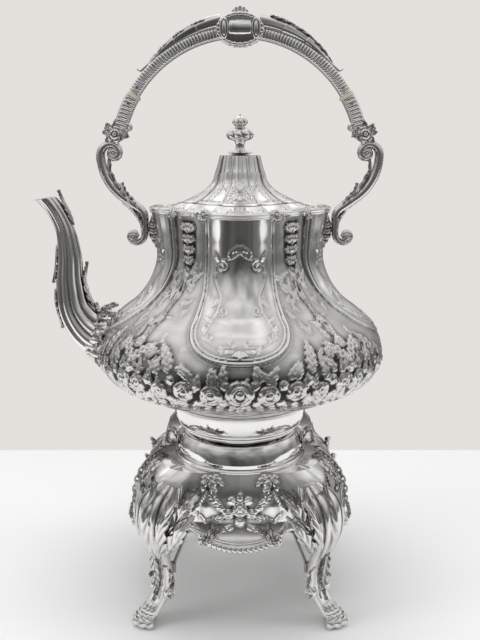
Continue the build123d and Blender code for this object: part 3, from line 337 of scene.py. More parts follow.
# ---------------------------------------------------------------- meshes
@dataclass
class Workshop:
    """Makes pieces, dresses them and fixes them to their bodies."""

    materials: dict = field(default_factory=dict)

    def add(
        self,
        name: str,
        verts: Array,
        faces: Sequence[Array],
        finish: str,
        body: Body,
        recess: Array | None = None,
        replaces: Sequence[str] = (),
        slot: Slot = Slot.SILVER,
        sharp: float = 48.0,
    ) -> bpy.types.Object:
        """Make one piece of the object.

        Args:
            name: name of the piece.
            verts: points in millimetres on the kettle's axis.
            faces: arrays of faces, each array with one number of corners.
            finish: name of its material.
            body: body that it rides on.
            recess: how deep each point lies in a recess, 0 to 1.
            replaces: nodes that it stands for.
            slot: slot of the record; not used.
            sharp: edges above this angle, in degrees, stay crisp.

        Returns:
            The new object.
        """
        flat = np.asarray(verts, float).reshape(-1, 3)
        faces = [np.asarray(f, int) for f in faces if len(f)]
        if signed_volume(flat, faces) < 0:
            faces = [f[:, ::-1] for f in faces]
        mesh = bpy.data.meshes.new(name)
        mesh.vertices.add(len(flat))
        mesh.vertices.foreach_set("co", ((flat + (AXIS_X, 0, 0)) * MM).astype(np.float32).ravel())
        corners = np.concatenate([f.ravel() for f in faces])
        sizes = np.concatenate([np.full(len(f), f.shape[1]) for f in faces])
        mesh.loops.add(len(corners))
        mesh.loops.foreach_set("vertex_index", corners.astype(np.int32))
        mesh.polygons.add(len(sizes))
        starts = np.concatenate([[0], np.cumsum(sizes)[:-1]])
        mesh.polygons.foreach_set("loop_start", starts.astype(np.int32))
        mesh.update(calc_edges=True)
        mesh.validate()
        mesh.shade_smooth()
        mesh.set_sharp_from_angle(angle=math.radians(sharp))
        if recess is not None:
            layer = mesh.attributes.new("recess", "FLOAT", "POINT")
            layer.data.foreach_set("value", np.clip(recess, 0, 1).astype(np.float32).ravel())
        piece = bpy.data.objects.new(name, mesh)
        bpy.context.scene.collection.objects.link(piece)
        mesh.materials.append(self.materials[finish])
        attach(piece, body.value)
        if replaces:
            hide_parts(*replaces)
        LOG.info("%s: %d points on %s", name, len(flat), body.value)
        return piece

    def grid(self, name: str, points: Array, finish: str, body: Body, **more: object) -> bpy.types.Object:
        """Make a closed piece from rings of points: every ring closes and the ends are capped."""
        rows, cols = points.shape[:2]
        return self.add(name, points, capped(rows, cols), finish, body, **more)

    def ring(self, name: str, points: Array, finish: str, body: Body, **more: object) -> bpy.types.Object:
        """Make a piece that closes both ways, such as a moulding."""
        rows, cols = points.shape[:2]
        return self.add(name, points, [lattice(rows, cols, True, True)], finish, body, **more)

    def slab(self, name: str, sheets: Sequence[tuple], finish: str, body: Body, **more: object) -> bpy.types.Object:
        """Make one piece of several thin plates, each (points, thickness, recess or None)."""
        verts, faces, recess = [], [], []
        base = 0
        for points, wall, hollow in sheets:
            rows, cols = points.shape[:2]
            count = rows * cols
            under = points - wall * normals(points)
            quads = lattice(rows, cols, False, False)
            edge = outline(rows, cols)
            after = np.roll(edge, -1)
            verts += [points.reshape(-1, 3), under.reshape(-1, 3)]
            faces += [quads + base, quads[:, ::-1] + base + count]
            faces.append(np.stack([edge, edge + count, after + count, after], 1) + base)
            level = np.zeros((rows, cols)) if hollow is None else hollow
            recess += [level.ravel(), level.ravel()]
            base += 2 * count
        more["recess"] = np.concatenate(recess)
        return self.add(name, np.concatenate(verts), faces, finish, body, **more)

    def union(self, name: str, parts: Sequence[tuple], finish: str, body: Body, **more: object) -> bpy.types.Object:
        """Make one piece of several closed forms, each (rings of points, recess or None)."""
        verts, faces, recess = [], [], []
        base = 0
        for points, hollow in parts:
            rows, cols = points.shape[:2]
            own = capped(rows, cols)
            if signed_volume(points.reshape(-1, 3), own) < 0:
                own = [f[:, ::-1] for f in own]
            verts.append(points.reshape(-1, 3))
            faces += [f + base for f in own]
            recess.append(np.broadcast_to(0.0 if hollow is None else hollow, (rows, cols)).ravel())
            base += rows * cols
        more["recess"] = np.concatenate(recess)
        return self.add(name, np.concatenate(verts), faces, finish, body, **more)


def lattice(rows: int, cols: int, close_rows: bool, close_cols: bool) -> Array:
    """Quads of a grid of rows and columns that may close on itself."""
    r = np.arange(rows if close_rows else rows - 1)
    c = np.arange(cols if close_cols else cols - 1)
    r, c = np.meshgrid(r, c, indexing="ij")
    r, c = r.ravel(), c.ravel()
    r2, c2 = (r + 1) % rows, (c + 1) % cols
    return np.stack([r * cols + c, r * cols + c2, r2 * cols + c2, r2 * cols + c], 1)


def capped(rows: int, cols: int) -> list:
    """Faces of rings of points that close round, with a cap that faces out at each end."""
    ring = np.arange(cols)[None]
    return [lattice(rows, cols, False, True), ring[:, ::-1], (rows - 1) * cols + ring]


def outline(rows: int, cols: int) -> Array:
    """Numbers of the points round the edge of an open grid, in order."""
    top = np.arange(cols)
    right = np.arange(1, rows) * cols + cols - 1
    bottom = (rows - 1) * cols + np.arange(cols - 2, -1, -1)
    left = np.arange(rows - 2, 0, -1) * cols
    return np.concatenate([top, right, bottom, left])


def signed_volume(verts: Array, faces: Iterable[Array]) -> float:
    """Volume inside the faces, negative where they face inwards."""
    total = 0.0
    for f in faces:
        first = verts[f[:, 0]]
        for k in range(1, f.shape[1] - 1):
            total += float(np.einsum("ij,ij->i", first, np.cross(verts[f[:, k]], verts[f[:, k + 1]])).sum())
    return total


def normals(points: Array, wrap: bool = False) -> Array:
    """Unit normals of a grid of points, whose columns may close on themselves."""
    if wrap:
        across = np.roll(points, -1, 1) - np.roll(points, 1, 1)
    else:
        across = np.gradient(points, axis=1)
    along = np.gradient(points, axis=0)
    n = np.cross(across, along)
    return n / np.maximum(np.linalg.norm(n, axis=2, keepdims=True), 1e-9)


def smooth(xs: Sequence[float], ys: Sequence[float], x: Array) -> Array:
    """A smooth curve through given points.

    Args:
        xs: increasing places.
        ys: values there.
        x: places asked for.

    Returns:
        The values at x.
    """
    xs, ys = np.asarray(xs, float), np.asarray(ys, float)
    slope = np.gradient(ys, xs)
    i = np.clip(np.searchsorted(xs, x) - 1, 0, len(xs) - 2)
    h = xs[i + 1] - xs[i]
    t = np.clip((x - xs[i]) / h, 0, 1)
    a, b = 2 * t**3 - 3 * t**2 + 1, t**3 - 2 * t**2 + t
    return a * ys[i] + b * h * slope[i] + (1 - a) * ys[i + 1] + (t**3 - t**2) * h * slope[i + 1]


def curve(points: Points, count: int) -> Array:
    """Evenly spaced points on a smooth line through the given ones."""
    pts = np.asarray(points, float)
    knots = np.concatenate([[0], np.cumsum(np.linalg.norm(np.diff(pts, axis=0), axis=1))])
    fine = np.linspace(0, knots[-1], 40 * len(pts))
    line = np.stack([smooth(knots, pts[:, k], fine) for k in range(pts.shape[1])], 1)
    run = np.concatenate([[0], np.cumsum(np.linalg.norm(np.diff(line, axis=0), axis=1))])
    even = np.linspace(0, run[-1], count)
    return np.stack([np.interp(even, run, line[:, k]) for k in range(pts.shape[1])], 1)


def directions(line: Array) -> Array:
    """Unit directions along a line of points."""
    along = np.gradient(line, axis=0)
    along /= np.linalg.norm(along, axis=1, keepdims=True)
    return along


def from_lobe(theta: Array) -> Array:
    """Angle from the middle of the nearest wide lobe."""
    return (theta + math.pi / 4) % (math.pi / 2) - math.pi / 4


def lobed(theta: Array, reach: Array, base: Array, half: Array) -> Array:
    """Radius of a level section with four wide lobes on a round of radius base."""
    t = from_lobe(theta)
    centre = (reach**2 - base**2) / (2 * (reach - base * np.cos(half)))
    arc = centre * np.cos(t) + np.sqrt(np.maximum((reach - centre) ** 2 - (centre * np.sin(t)) ** 2, 0))
    return np.where(np.abs(t) < half, arc, base)


def spin(radius: Array, z: Array, theta: Array) -> Array:
    """Points round the axis at radii and heights."""
    shape = np.broadcast(radius, z, theta).shape
    return np.stack([np.broadcast_to(v, shape) for v in (radius * np.cos(theta), radius * np.sin(theta), z)], -1)


def turns(count: int) -> Array:
    """Angles round the axis, once round."""
    return np.linspace(0, 2 * math.pi, count, endpoint=False)


def blur(height: Array, size: int) -> Array:
    """Mean of a height field over a square window; its columns close on themselves."""
    out = height
    for axis, mode in ((1, "wrap"), (0, "edge")):
        pad = [(0, 0), (0, 0)]
        pad[axis] = (size + 1, size)
        total = np.cumsum(np.pad(out, pad, mode=mode), axis=axis)
        n = 2 * size + 1
        length = total.shape[axis]
        out = (np.take(total, range(n, length), axis) - np.take(total, range(0, length - n), axis)) / n
    return out


def hollows(height: Array, size: int, depth: float) -> Array:
    """How deep each point lies below its surroundings, 0 to 1."""
    return np.clip((blur(blur(height, size), size) - height) / depth, 0, 1)


# ---------------------------------------------------------------- chased ornament as heights
def half_round(place: Array, centre: float, half: float, high: float) -> Array:
    """Height of a half-round bead across a line of places."""
    return high * np.sqrt(np.clip(1 - ((place - centre) / half) ** 2, 0, None))


def dome(rx: float, ry: float, high: float) -> Shape:
    """A smooth oval boss."""
    return lambda x, y: high * np.sqrt(np.clip(1 - (x / rx) ** 2 - (y / ry) ** 2, 0, None))


def rosette(radius: float, petals: int, high: float) -> Shape:
    """A flower with cupped petals round a boss."""

    def shape(x: Array, y: Array) -> Array:
        r, a = np.hypot(x, y) / radius, np.arctan2(y, x)
        lobe = np.abs(np.cos(petals * a / 2))
        outer = np.clip(1 - (r / (0.88 + 0.12 * lobe**0.5)) ** 6, 0, None) ** 0.5 * (0.46 + 0.2 * lobe**0.5)
        inner = np.clip(1 - (r / 0.64) ** 6, 0, None) ** 0.5 * (0.80 + 0.16 * np.abs(np.sin(petals * a / 2)) ** 0.5)
        cup = 1 - 0.5 * np.exp(-(((r - 0.34) / 0.07) ** 2)) - 0.3 * np.exp(-(((r - 0.68) / 0.06) ** 2))
        boss = np.sqrt(np.clip(1 - (r / 0.24) ** 2, 0, None)) * (0.95 + 0.1 * np.cos(7 * a))
        return high * np.maximum(np.maximum(outer, inner) * cup, boss)

    return shape


def leaf(length: float, width: float, high: float, lobes: float = 4, bend: float = 0.0) -> Shape:
    """An acanthus leaf along +X from its root, with a groove on its midrib."""

    def shape(x: Array, y: Array) -> Array:
        s = np.clip(x / length, 0, 1)
        inside = (x > 0) & (x < length)
        side = y - bend * length * s**2
        half = width * np.sin(math.pi * s**0.7) ** 0.8 * (0.66 + 0.34 * np.abs(np.sin(lobes * math.pi * s))) + 1e-6
        t = side / half
        crown = np.sqrt(np.clip(1 - t * t, 0, None))
        rib = 1 - 0.45 * np.exp(-((t * 3.6) ** 2))
        veins = 0.8 + 0.2 * np.cos(2 * math.pi * (lobes * s - 0.9 * np.abs(t)))
        return np.where(inside, high * crown * rib * veins * np.sin(math.pi * s**0.8) ** 0.35, 0)

    return shape


def shell(radius: float, ribs: int, high: float) -> Shape:
    """A scallop opening along +Y from its hinge."""
    spread = 1.45

    def shape(x: Array, y: Array) -> Array:
        r, a = np.hypot(x, y) / radius, np.arctan2(x, y)
        rib = np.abs(np.cos(ribs * a / (2 * spread) * math.pi))
        edge = 0.86 + 0.14 * rib
        dish = np.clip(1 - (r / edge) ** 5, 0, None) ** 0.5 * (0.35 + 0.65 * r) * (0.55 + 0.45 * rib)
        heel = np.sqrt(np.clip(1 - (r / 0.22) ** 2, 0, None))
        return high * np.where(np.abs(a) < spread, np.maximum(dish, heel), heel)

    return shape


def stroke(points: Points, width: float, high: float) -> Shape:
    """A rounded ridge along a line, of a half width and a height."""
    line = np.asarray(points, float)

    def shape(x: Array, y: Array) -> Array:
        best = np.full(np.broadcast(x, y).shape, 9e9)
        for a, b in zip(line, line[1:]):
            span = b - a
            t = np.clip(((x - a[0]) * span[0] + (y - a[1]) * span[1]) / max(span @ span, 1e-9), 0, 1)
            best = np.minimum(best, np.hypot(x - a[0] - t * span[0], y - a[1] - t * span[1]))
        return half_round(best, 0, width, high)

    return shape


def coil(cx: float, cy: float, r0: float, r1: float, start: float, sweep: float, count: int = 22) -> Array:
    """Points of a spiral from radius r0 to r1, with angles in degrees."""
    a = np.radians(np.linspace(start, start + sweep, count))
    r = np.linspace(r0, r1, count)
    return np.stack([cx + r * np.cos(a), cy + r * np.sin(a)], 1)


@dataclass
class Relief:
    """Heights over a surface, laid out by angle and by distance along its profile."""

    theta: Array         # angle of each column, radians
    rise: Array          # distance of each row along the profile
    span: Array          # millimetres per radian in each row
    height: Array = field(init=False)

    def __post_init__(self) -> None:
        """Start from a flat surface."""
        self.height = np.zeros((len(self.rise), len(self.theta)))

    def stamp(self, shape: Shape, at: float, rise: float, reach: float, turn: float = 0.0) -> None:
        """Raise a shape on the surface.

        Args:
            shape: its height by place.
            at: angle of its centre, in degrees.
            rise: distance of its centre along the profile.
            reach: how far it extends.
            turn: degrees that it is turned to the left.
        """
        away = (self.theta - math.radians(at) + math.pi) % (2 * math.pi) - math.pi
        rows = np.nonzero(np.abs(self.rise - rise) < reach)[0]
        if not len(rows):
            return
        cols = np.nonzero(np.abs(away) * self.span[rows].min() < reach)[0]
        if not len(cols):
            return
        x = away[cols][None] * self.span[rows][:, None]
        y = (self.rise[rows] - rise)[:, None] + 0 * x
        c, s = math.cos(math.radians(turn)), math.sin(math.radians(turn))
        value = shape(x * c + y * s, -x * s + y * c)
        where = np.ix_(rows, cols)
        self.height[where] = np.maximum(self.height[where], value)


def leaf_sheet(spine: Array, side: Array, width: float, lobes: float, high: float, cols: int,
               wall: float, depth: float = 0.42) -> tuple:
    """A curled acanthus leaf in the round.

    Args:
        spine: points of its midrib, from the root.
        side: direction across the leaf.
        width: its greatest half width.
        lobes: number of lobes on each side.
        high: how far its veins stand out.
        cols: points across.
        wall: thickness of the leaf.
        depth: how deep the cuts between the lobes are.

    Returns:
        (points, wall, recess), as a slab takes them.
    """
    rows = len(spine)
    root = 0.35               # share of the width at the root
    s = np.linspace(0, 1, rows)[:, None]
    t = np.linspace(-1, 1, cols)[None]
    along = directions(spine)
    across = np.asarray(side, float)[None] - along * (along @ np.asarray(side, float))[:, None]
    across /= np.linalg.norm(across, axis=1, keepdims=True)
    up = np.cross(across, along)
    full = (root + (1 - root) * np.sin(math.pi * np.clip(s * 1.25, 0, 1) ** 0.8)) * np.sqrt(np.clip(1 - s**5, 0, 1))
    cut = 1 - depth * np.abs(t) ** 1.5 * (1 - np.abs(np.sin(math.pi * lobes * (s - 0.12 * np.abs(t))))) ** 1.2
    half = width * full * cut + 0.15
    vein = np.cos(2 * math.pi * lobes * (s - 0.28 * np.abs(t)))
    lift = high * (0.9 * np.exp(-((t * 5) ** 2)) + 0.5 * vein * np.abs(t) ** 0.6 - 1.3 * t**2)
    points = spine[:, None] + across[:, None] * (half * t)[..., None] + up[:, None] * lift[..., None]
    return points, wall, np.clip(0.45 - 0.5 * vein, 0, 1) * np.abs(t) ** 0.4 * 0.9


def tube(line: Array, side: Array, half_side: Array, half_up: Array, cols: int = 20,
         square: float = 2.0, relief: Callable | None = None) -> tuple:
    """Rings along a line that lies in one plane.

    Args:
        line: points of the centre line.
        side: direction across the plane.
        half_side: half width along side, at each point or for all.
        half_up: half height in the plane.
        cols: points round.
        square: power of the section's oval; more is squarer.
        relief: height by share of the length and angle round, or None.

    Returns:
        (points, recess).
    """
    along = directions(line)
    side = np.asarray(side, float)
    up = np.cross(along, side[None])
    a = turns(cols)[None]
    s = np.linspace(0, 1, len(line))[:, None]
    c, d = np.cos(a), np.sin(a)
    x = np.sign(c) * np.abs(c) ** (2 / square)
    y = np.sign(d) * np.abs(d) ** (2 / square)
    lift = np.zeros((len(line), cols)) if relief is None else relief(s, a)
    hs = np.reshape(half_side, (-1, 1)) + lift
    hu = np.reshape(half_up, (-1, 1)) + lift
    points = line[:, None] + side * (x * hs)[..., None] + up[:, None] * (y * hu)[..., None]
    return points, hollows(lift, 2, 0.5)


def plane_line(points: Points, count: int) -> Array:
    """A smooth line through (x, z) points in the plane of the handle."""
    line = curve(points, count)
    return np.stack([line[:, 0], np.zeros(count), line[:, 1]], 1)


def ball(centre: Sequence[float], radii: Sequence[float], rows: int = 12, cols: int = 16) -> Array:
    """Rings of a rounded knob."""
    p = np.linspace(-1.54, 1.54, rows)[:, None]
    a = turns(cols)[None]
    return np.stack(
        [centre[0] + radii[0] * np.cos(p) * np.cos(a), centre[1] + radii[1] * np.cos(p) * np.sin(a),
         centre[2] + radii[2] * np.sin(p) + 0 * a], -1)


def flower_disc(centre: Sequence[float], axis: Sequence[float], radius: float, petals: int, high: float,
                back: float = 0.8) -> tuple:
    """A flower in the round, facing along an axis: rings of points and recess."""
    n = np.asarray(axis, float)
    n = n / np.linalg.norm(n)
    u = np.cross(n, (0.0, 0.0, 1.0) if abs(n[2]) < 0.9 else (1.0, 0.0, 0.0))
    u /= np.linalg.norm(u)
    v = np.cross(n, u)
    r = np.concatenate([np.linspace(0.02, 1, 13), [0.98, 0.5, 0.02]])[:, None]
    a = turns(60)[None]
    edge = 0.76 + 0.24 * np.abs(np.cos(petals * a / 2)) ** 0.5
    x, y = radius * edge * r * np.cos(a), radius * edge * r * np.sin(a)
    top = rosette(radius * 1.04, petals, high)(x, y)
    top[13:] = -back
    points = np.asarray(centre, float) + u * x[..., None] + v * y[..., None] + n * top[..., None]
    recess = hollows(top, 1, 0.45)
    recess[13:] = 0.3
    return points, recess


def scroll(start: Sequence[float], heading: float, runs: Sequence[tuple], step: float = 0.7) -> tuple:
    """A planar path of tangent runs: (length, 0) is straight and (radius, turn) is an arc.

    Args:
        start: first point, (x, z).
        heading: first direction, in degrees.
        runs: the runs in order; a positive turn bends to the left.
        step: distance between points.

    Returns:
        (points, centre of each arc).
    """
    points, centres = [np.asarray(start, float)], []
    for size, turn in runs:
        x, z = points[-1]
        ray = math.radians(heading)
        if turn == 0:
            count = max(int(size / step), 2)
            steps = np.linspace(0, size, count)[1:]
            points += [np.array((x + math.cos(ray) * d, z + math.sin(ray) * d)) for d in steps]
            continue
        side = math.copysign(1, turn)
        cx, cz = x - side * size * math.sin(ray), z + side * size * math.cos(ray)
        begin = ray - side * math.pi / 2
        count = max(int(size * abs(math.radians(turn)) / step), 4)
        angles = begin + np.linspace(0, math.radians(turn), count)[1:]
        points += [np.array((cx + size * math.cos(a), cz + size * math.sin(a))) for a in angles]
        centres.append((cx, cz))
        heading += turn
    return np.stack(points), centres


def mirrored(parts: Sequence[tuple], flip: Sequence[float]) -> list:
    """The same forms with their points multiplied by -1 or 1 along each axis."""
    return [(p[0] * np.asarray(flip, float), *p[1:]) for p in parts]


# ---------------------------------------------------------------- kettle body
@dataclass
class KettleBody:
    """Lobed body with chased flowers on its belly, its foot, rim and top plate."""

    bowl_z: float = 160.3
    belly_z: float = 186.3
    waist_z: float = 254.3
    top_z: float = 287.8
    base_z: float = 122.8
    belly_r: float = 100.5
    neck_reach: float = 59.0
    neck_base: float = 48.5
    rim_reach: float = 62.0
    rim_base: float = 49.0
    rim_t: float = 3.2
    deck_z: float = 293.6
    wall: float = 1.2
    foot_r: float = 30.5
    foot_top_r: float = 50.0
    panel_deg: float = 27.0
    sprays: int = 70
    cols: int = 800
    rows: int = 270

    def profile(self) -> tuple:
        """Rows of the outer wall: reach, base radius, half angle, height and distance along it."""
        r = self.belly_r
        rise = self.waist_z - self.belly_z
        neck = self.top_z - self.waist_z
        shares = ((0, 0, 0), (0.14, 0.012, 0.01), (0.29, 0.10, 0.115), (0.45, 0.34, 0.36), (0.61, 0.665, 0.66),
                  (0.80, 0.89, 0.89), (1, 1, 1))
        low = [(0.53, 0), (0.66, 0.05), (0.76, 0.13), (0.885, 0.37), (0.965, 0.66)]
        z = [self.bowl_z + h * (self.belly_z - self.bowl_z) for _, h in low]
        reach = [k * r for k, _ in low]
        base = list(reach)
        for h, a, b in shares:
            z.append(self.belly_z + rise * h)
            reach.append(r - (r - self.neck_reach) * a)
            base.append(r - (r - self.neck_base) * b)
        z += [self.waist_z + 0.54 * neck, self.top_z]
        reach += [self.neck_reach + 0.8, self.rim_reach]
        base += [self.neck_base - 0.5, self.rim_base]
        table = curve(np.stack([z, reach, base], 1), self.rows)
        least = table[:, 1] - 0.01
        table[:, 2] = np.where(table[:, 0] < self.belly_z + 4, least, np.minimum(table[:, 2], least))
        half = np.radians(smooth((140, 200, 215, 238, 254, 272, 290), (23, 23.5, 24, 26, 28, 27.5, 27), table[:, 0]))
        run = np.concatenate([[0], np.cumsum(np.hypot(np.diff(table[:, 0]), np.diff(table[:, 1])))])
        return table[:, 1], table[:, 2], half, table[:, 0], run

    def build(self, shop: Workshop) -> None:
        """Make every piece of the body."""
        self.make_shell(shop)
        self.make_foot(shop)
        self.make_rim(shop)
        self.make_deck(shop)

    def make_shell(self, shop: Workshop) -> None:
        """Raise the body and chase it."""
        reach, base, half, z, run = self.profile()
        theta = turns(self.cols)
        radius = lobed(theta[None], reach[:, None], base[:, None], half[:, None])
        span = (reach + base) / 2
        relief = Relief(theta, run, span)

        def at(height: float) -> float:
            return float(np.interp(height, z, run))

        inside = self.panel_field(theta, run, span, half, at(202.5))
        self.chase_ground(relief, inside, z)
        self.chase_borders(relief, inside)
        for quarter in range(4):
            self.chase_belly(relief, 90 * quarter, at)
            self.chase_diagonal(relief, 90 * quarter + 45, at)
            self.chase_panel(relief, 90 * quarter, at)
        height = relief.height
        points = spin(radius, z[:, None], theta[None])
        out = points + normals(points, True) * height[..., None]
        recess = hollows(height, 4, 0.55) + self.matting(theta, run, inside, z)
        inner = points[::-6] - self.wall * normals(points, True)[::-6]
        inner[-1, :, 2] = self.bowl_z + self.wall
        all_points = np.concatenate([out, inner])
        all_recess = np.concatenate([recess, 0.15 + np.zeros(inner.shape[:2])])
        shop.grid("chased_kettle_body", all_points, "chased_silver", Body.KETTLE, recess=all_recess,
                  replaces=["kettle_shell"])

    def panel_field(self, theta: Array, run: Array, span: Array, half: Array,
                    bottom: float) -> Array:
        """Distance inside the edge of the nearest wide panel, negative outside it."""
        t = np.abs(from_lobe(theta))[None]
        edge = (span * half)[:, None]
        drop = np.clip((bottom + edge - run[:, None]) / edge, 0, None)
        power = 2.6
        field_ = ((t * span[:, None]) / edge) ** power + drop**power
        return (1 - field_ ** (1 / power)) * edge

    def chase_ground(self, relief: Relief, inside: Array, z: Array) -> None:
        """Sink the matted ground round the panels."""
        band = 1 / (1 + np.exp((inside + 0.6) * 2.2))
        fade = np.clip((z - 172) / 9, 0, 1)[:, None]
        relief.height -= 0.7 * band * fade

    def chase_borders(self, relief: Relief, inside: Array) -> None:
        """Raise the double border of the wide panels and sink the engraved line inside it."""
        borders = np.maximum(half_round(inside, 1.6, 1.3, 1.1), half_round(inside, 4.1, 0.7, 0.45))
        relief.height = np.maximum(relief.height, borders)

    def matting(self, theta: Array, run: Array, inside: Array, z: Array) -> Array:
        """Punched dots of the ground, as a dark stipple."""
        fade = np.clip((z - 172) / 10, 0, 1)[:, None]
        dots = np.sin(theta * 240)[None] * np.sin(run * 3.6)[:, None]
        return np.where(inside < -1.5, 0.2 + 0.2 * dots, 0) * fade

    def chase_belly(self, relief: Relief, at_deg: float, at: Callable[[float], float]) -> None:
        """Garland of flowers round the belly, with leaves over and under it, for one quarter."""
        rng = np.random.default_rng(7)
        for k in range(64):
            up = k % 2 == 0
            size = rng.uniform(8, 14)
            turn = (90 if up else -90) + rng.uniform(-60, 60)
            low = at(rng.uniform(185, 196)) if up else at(rng.uniform(178, 185))
            bent = leaf(size, 0.27 * size, 1.25, 3, rng.uniform(-0.35, 0.35))
            relief.stamp(bent, at_deg + rng.uniform(-45, 45), low, 16, turn)
        for side in (-1, 1):
            for k in range(10):
                tip = leaf(11 + 3.0 * (k % 2), 2.5, 1.35, 2.5, 0.12 * side)
                relief.stamp(tip, at_deg + side * (2.3 + 4.5 * k), at(178.5), 15, -90 + side * 10)
            for place, height, size in ((5.2, 191, 3.2), (15.4, 190.5, 3.4), (25.4, 192, 3.0), (35.5, 190, 3.6),
                                        (6.0, 178.5, 2.8), (15.0, 178, 3.0), (25.8, 179, 3.0), (36.0, 178.5, 2.8)):
                relief.stamp(rosette(size, 5, 1.5), at_deg + side * place, at(height), 5, 11 * place)
            for place, height, size, petals in ((10.2, 184, 7.4, 5), (20.4, 185.5, 7.0, 6), (30.4, 184, 6.2, 5),
                                                (40.6, 186, 6.6, 6)):
                relief.stamp(rosette(size, petals, 0.32 * size), at_deg + side * place, at(height), 9, 13 * place)
            relief.stamp(leaf(22, 4.8, 1.5, 5, 0.2), at_deg + side * 26, at(196), 24, 90 - side * 20)
            relief.stamp(leaf(14, 3.4, 1.3, 4, 0.2), at_deg + side * 17, at(194), 24, 90 - side * 52)
        relief.stamp(rosette(9.2, 6, 2.9), at_deg, at(185.5), 11)
        relief.stamp(leaf(13, 3.4, 1.6, 3), at_deg, at(177.5), 14, -90)

    def chase_diagonal(self, relief: Relief, at_deg: float, at: Callable[[float], float]) -> None:
        """Stacked shells over fine chased foliage in a narrow panel."""
        rng = np.random.default_rng(11)
        for height, size in ((279.5, 7.6), (272, 6.9), (264.8, 6.2), (258, 5.2)):
            relief.stamp(dome(size, 3.5, 1.3), at_deg, at(height), 9)
            relief.stamp(shell(0.72 * size, 7, 2.2), at_deg, at(height) - 2.6, 9)
            for side in (-1, 1):
                curl = stroke(coil(side * 0.78 * size, 0.4, 2.3, 0.8, 90, side * 400), 0.7, 1.8)
                relief.stamp(curl, at_deg, at(height), 10)
        for _ in range(self.sprays):
            low = rng.uniform(197, 256)
            size = rng.uniform(5.5, 10.5)
            spray = leaf(size, 0.25 * size, 0.6, 3, rng.uniform(-0.4, 0.4))
            relief.stamp(spray, at_deg + rng.uniform(-15, 15), at(low), 13, 90 + rng.uniform(-75, 75))
        for side in (-1, 1):
            stem = curve([(0, -26), (side * 2.5, -14), (side * 0.5, 0), (side * 2.0, 12), (0, 22)], 22)
            relief.stamp(stroke(stem, 0.7, 0.9), at_deg, at(228), 30)
            relief.stamp(leaf(22, 4.6, 1.5, 5, 0.22 * side), at_deg, at(198), 26, 90 + side * 34)
            relief.stamp(rosette(4.2, 5, 1.5), at_deg + side * 8.5, at(206), 8)
        for height, size in ((247, 3.0), (235, 3.4), (222, 3.8), (210, 4.6), (198, 6.8)):
            relief.stamp(rosette(size, 5, 0.34 * size), at_deg, at(height), 8, 7 * size)

    def chase_panel(self, relief: Relief, at_deg: float, at: Callable[[float], float]) -> None:
        """Engraved cartouche of a wide panel."""
        lines = []
        for side in (-1, 1):
            lines += [
                coil(side * 10.5, 0, 4.2, 1.0, 90, side * 430),
                curve([(side * 10.5, 4.2), (side * 4, 6.0), (0, 9.5)], 9),
                curve([(side * 14.7, 0), (side * 15.5, -10), (side * 12.0, -20), (side * 13.5, -30)], 14),
                coil(side * 10.2, -30, 3.4, 0.9, 0 if side > 0 else 180, side * -400),
                curve([(side * 13.5, -30), (side * 19, -40), (side * 23, -50)], 12),
                coil(side * 19.6, -50, 3.4, 0.9, 0 if side > 0 else 180, side * -420),
                curve([(side * 19.6, -53.4), (side * 13, -57), (side * 5, -57)], 10),
                coil(side * 5, -54.4, 2.8, 0.7, -90, side * -400),
            ]
        for line in lines:
            relief.stamp(stroke(line, 0.6, 0.5), at_deg, at(257), 75)
        relief.stamp(shell(5.6, 7, 1.0), at_deg, at(266), 9)
        relief.stamp(shell(5.0, 7, 1.1), at_deg, at(257) - 64, 9)
        for side in (-1, 1):
            for dx, dv, turn, size in ((13, 3, 60, 7), (15.5, -8, 80, 6), (13, -22, -60, 7), (17, -38, 20, 7),
                                       (22, -47, 60, 8), (12, -56, -110, 7), (6, 6, 100, 7), (10, -61, 160, 7)):
                angle = turn if side > 0 else 180 - turn
                where = at(257) + dv
                row = int(np.searchsorted(relief.rise, where))
                place = at_deg + side * math.degrees(dx / relief.span[min(row, len(relief.span) - 1)])
                relief.stamp(leaf(size, 1.7, 0.7, 3, 0.15 * side), place, where, 10, angle)

    def make_foot(self, shop: Workshop) -> None:
        """Cup-shaped foot with reeded rings."""
        low, high = self.base_z, self.bowl_z - self.base_z
        top = self.foot_top_r
        wave = [(self.foot_r - 1.2, low), (self.foot_r, low), (self.foot_r + 1.1, low + 1.1), (self.foot_r, low + 2.2)]
        shape = curve([(self.foot_r, low + 2.2), (self.foot_r + 7, low + 5.5), (top - 4.5, low + 0.36 * high),
                       (top - 0.8, low + 0.66 * high), (top, low + high - 0.1)], 110)
        theta = turns(480)
        points = spin(shape[:, :1], shape[:, 1:], theta[None])
        run = np.linspace(0, 1, len(shape))[:, None]
        lift = np.zeros((len(shape), len(theta)))
        for place, size, tall in ((0.20, 0.016, 0.6), (0.26, 0.018, 0.7), (0.33, 0.02, 0.9), (0.40, 0.016, 0.6),
                                  (0.78, 0.014, 0.6), (0.83, 0.018, 0.9), (0.90, 0.022, 1.2), (0.965, 0.02, 0.9)):
            lift = lift + half_round(run, place, size, tall)
        out = points + normals(points, True) * lift[..., None]
        inner = (points - self.wall * normals(points, True))[::-8]
        bead = spin(np.array([p[0] for p in wave])[:, None], np.array([p[1] for p in wave])[:, None], theta[None])
        every = np.concatenate([bead, out[1:], inner])
        recess = np.concatenate([np.zeros(bead.shape[:2]), hollows(lift, 3, 0.5)[1:], 0.5 + np.zeros(inner.shape[:2])])
        shop.ring("reeded_kettle_foot", every, "polished_silver", Body.KETTLE, recess=recess, replaces=["kettle_foot"])

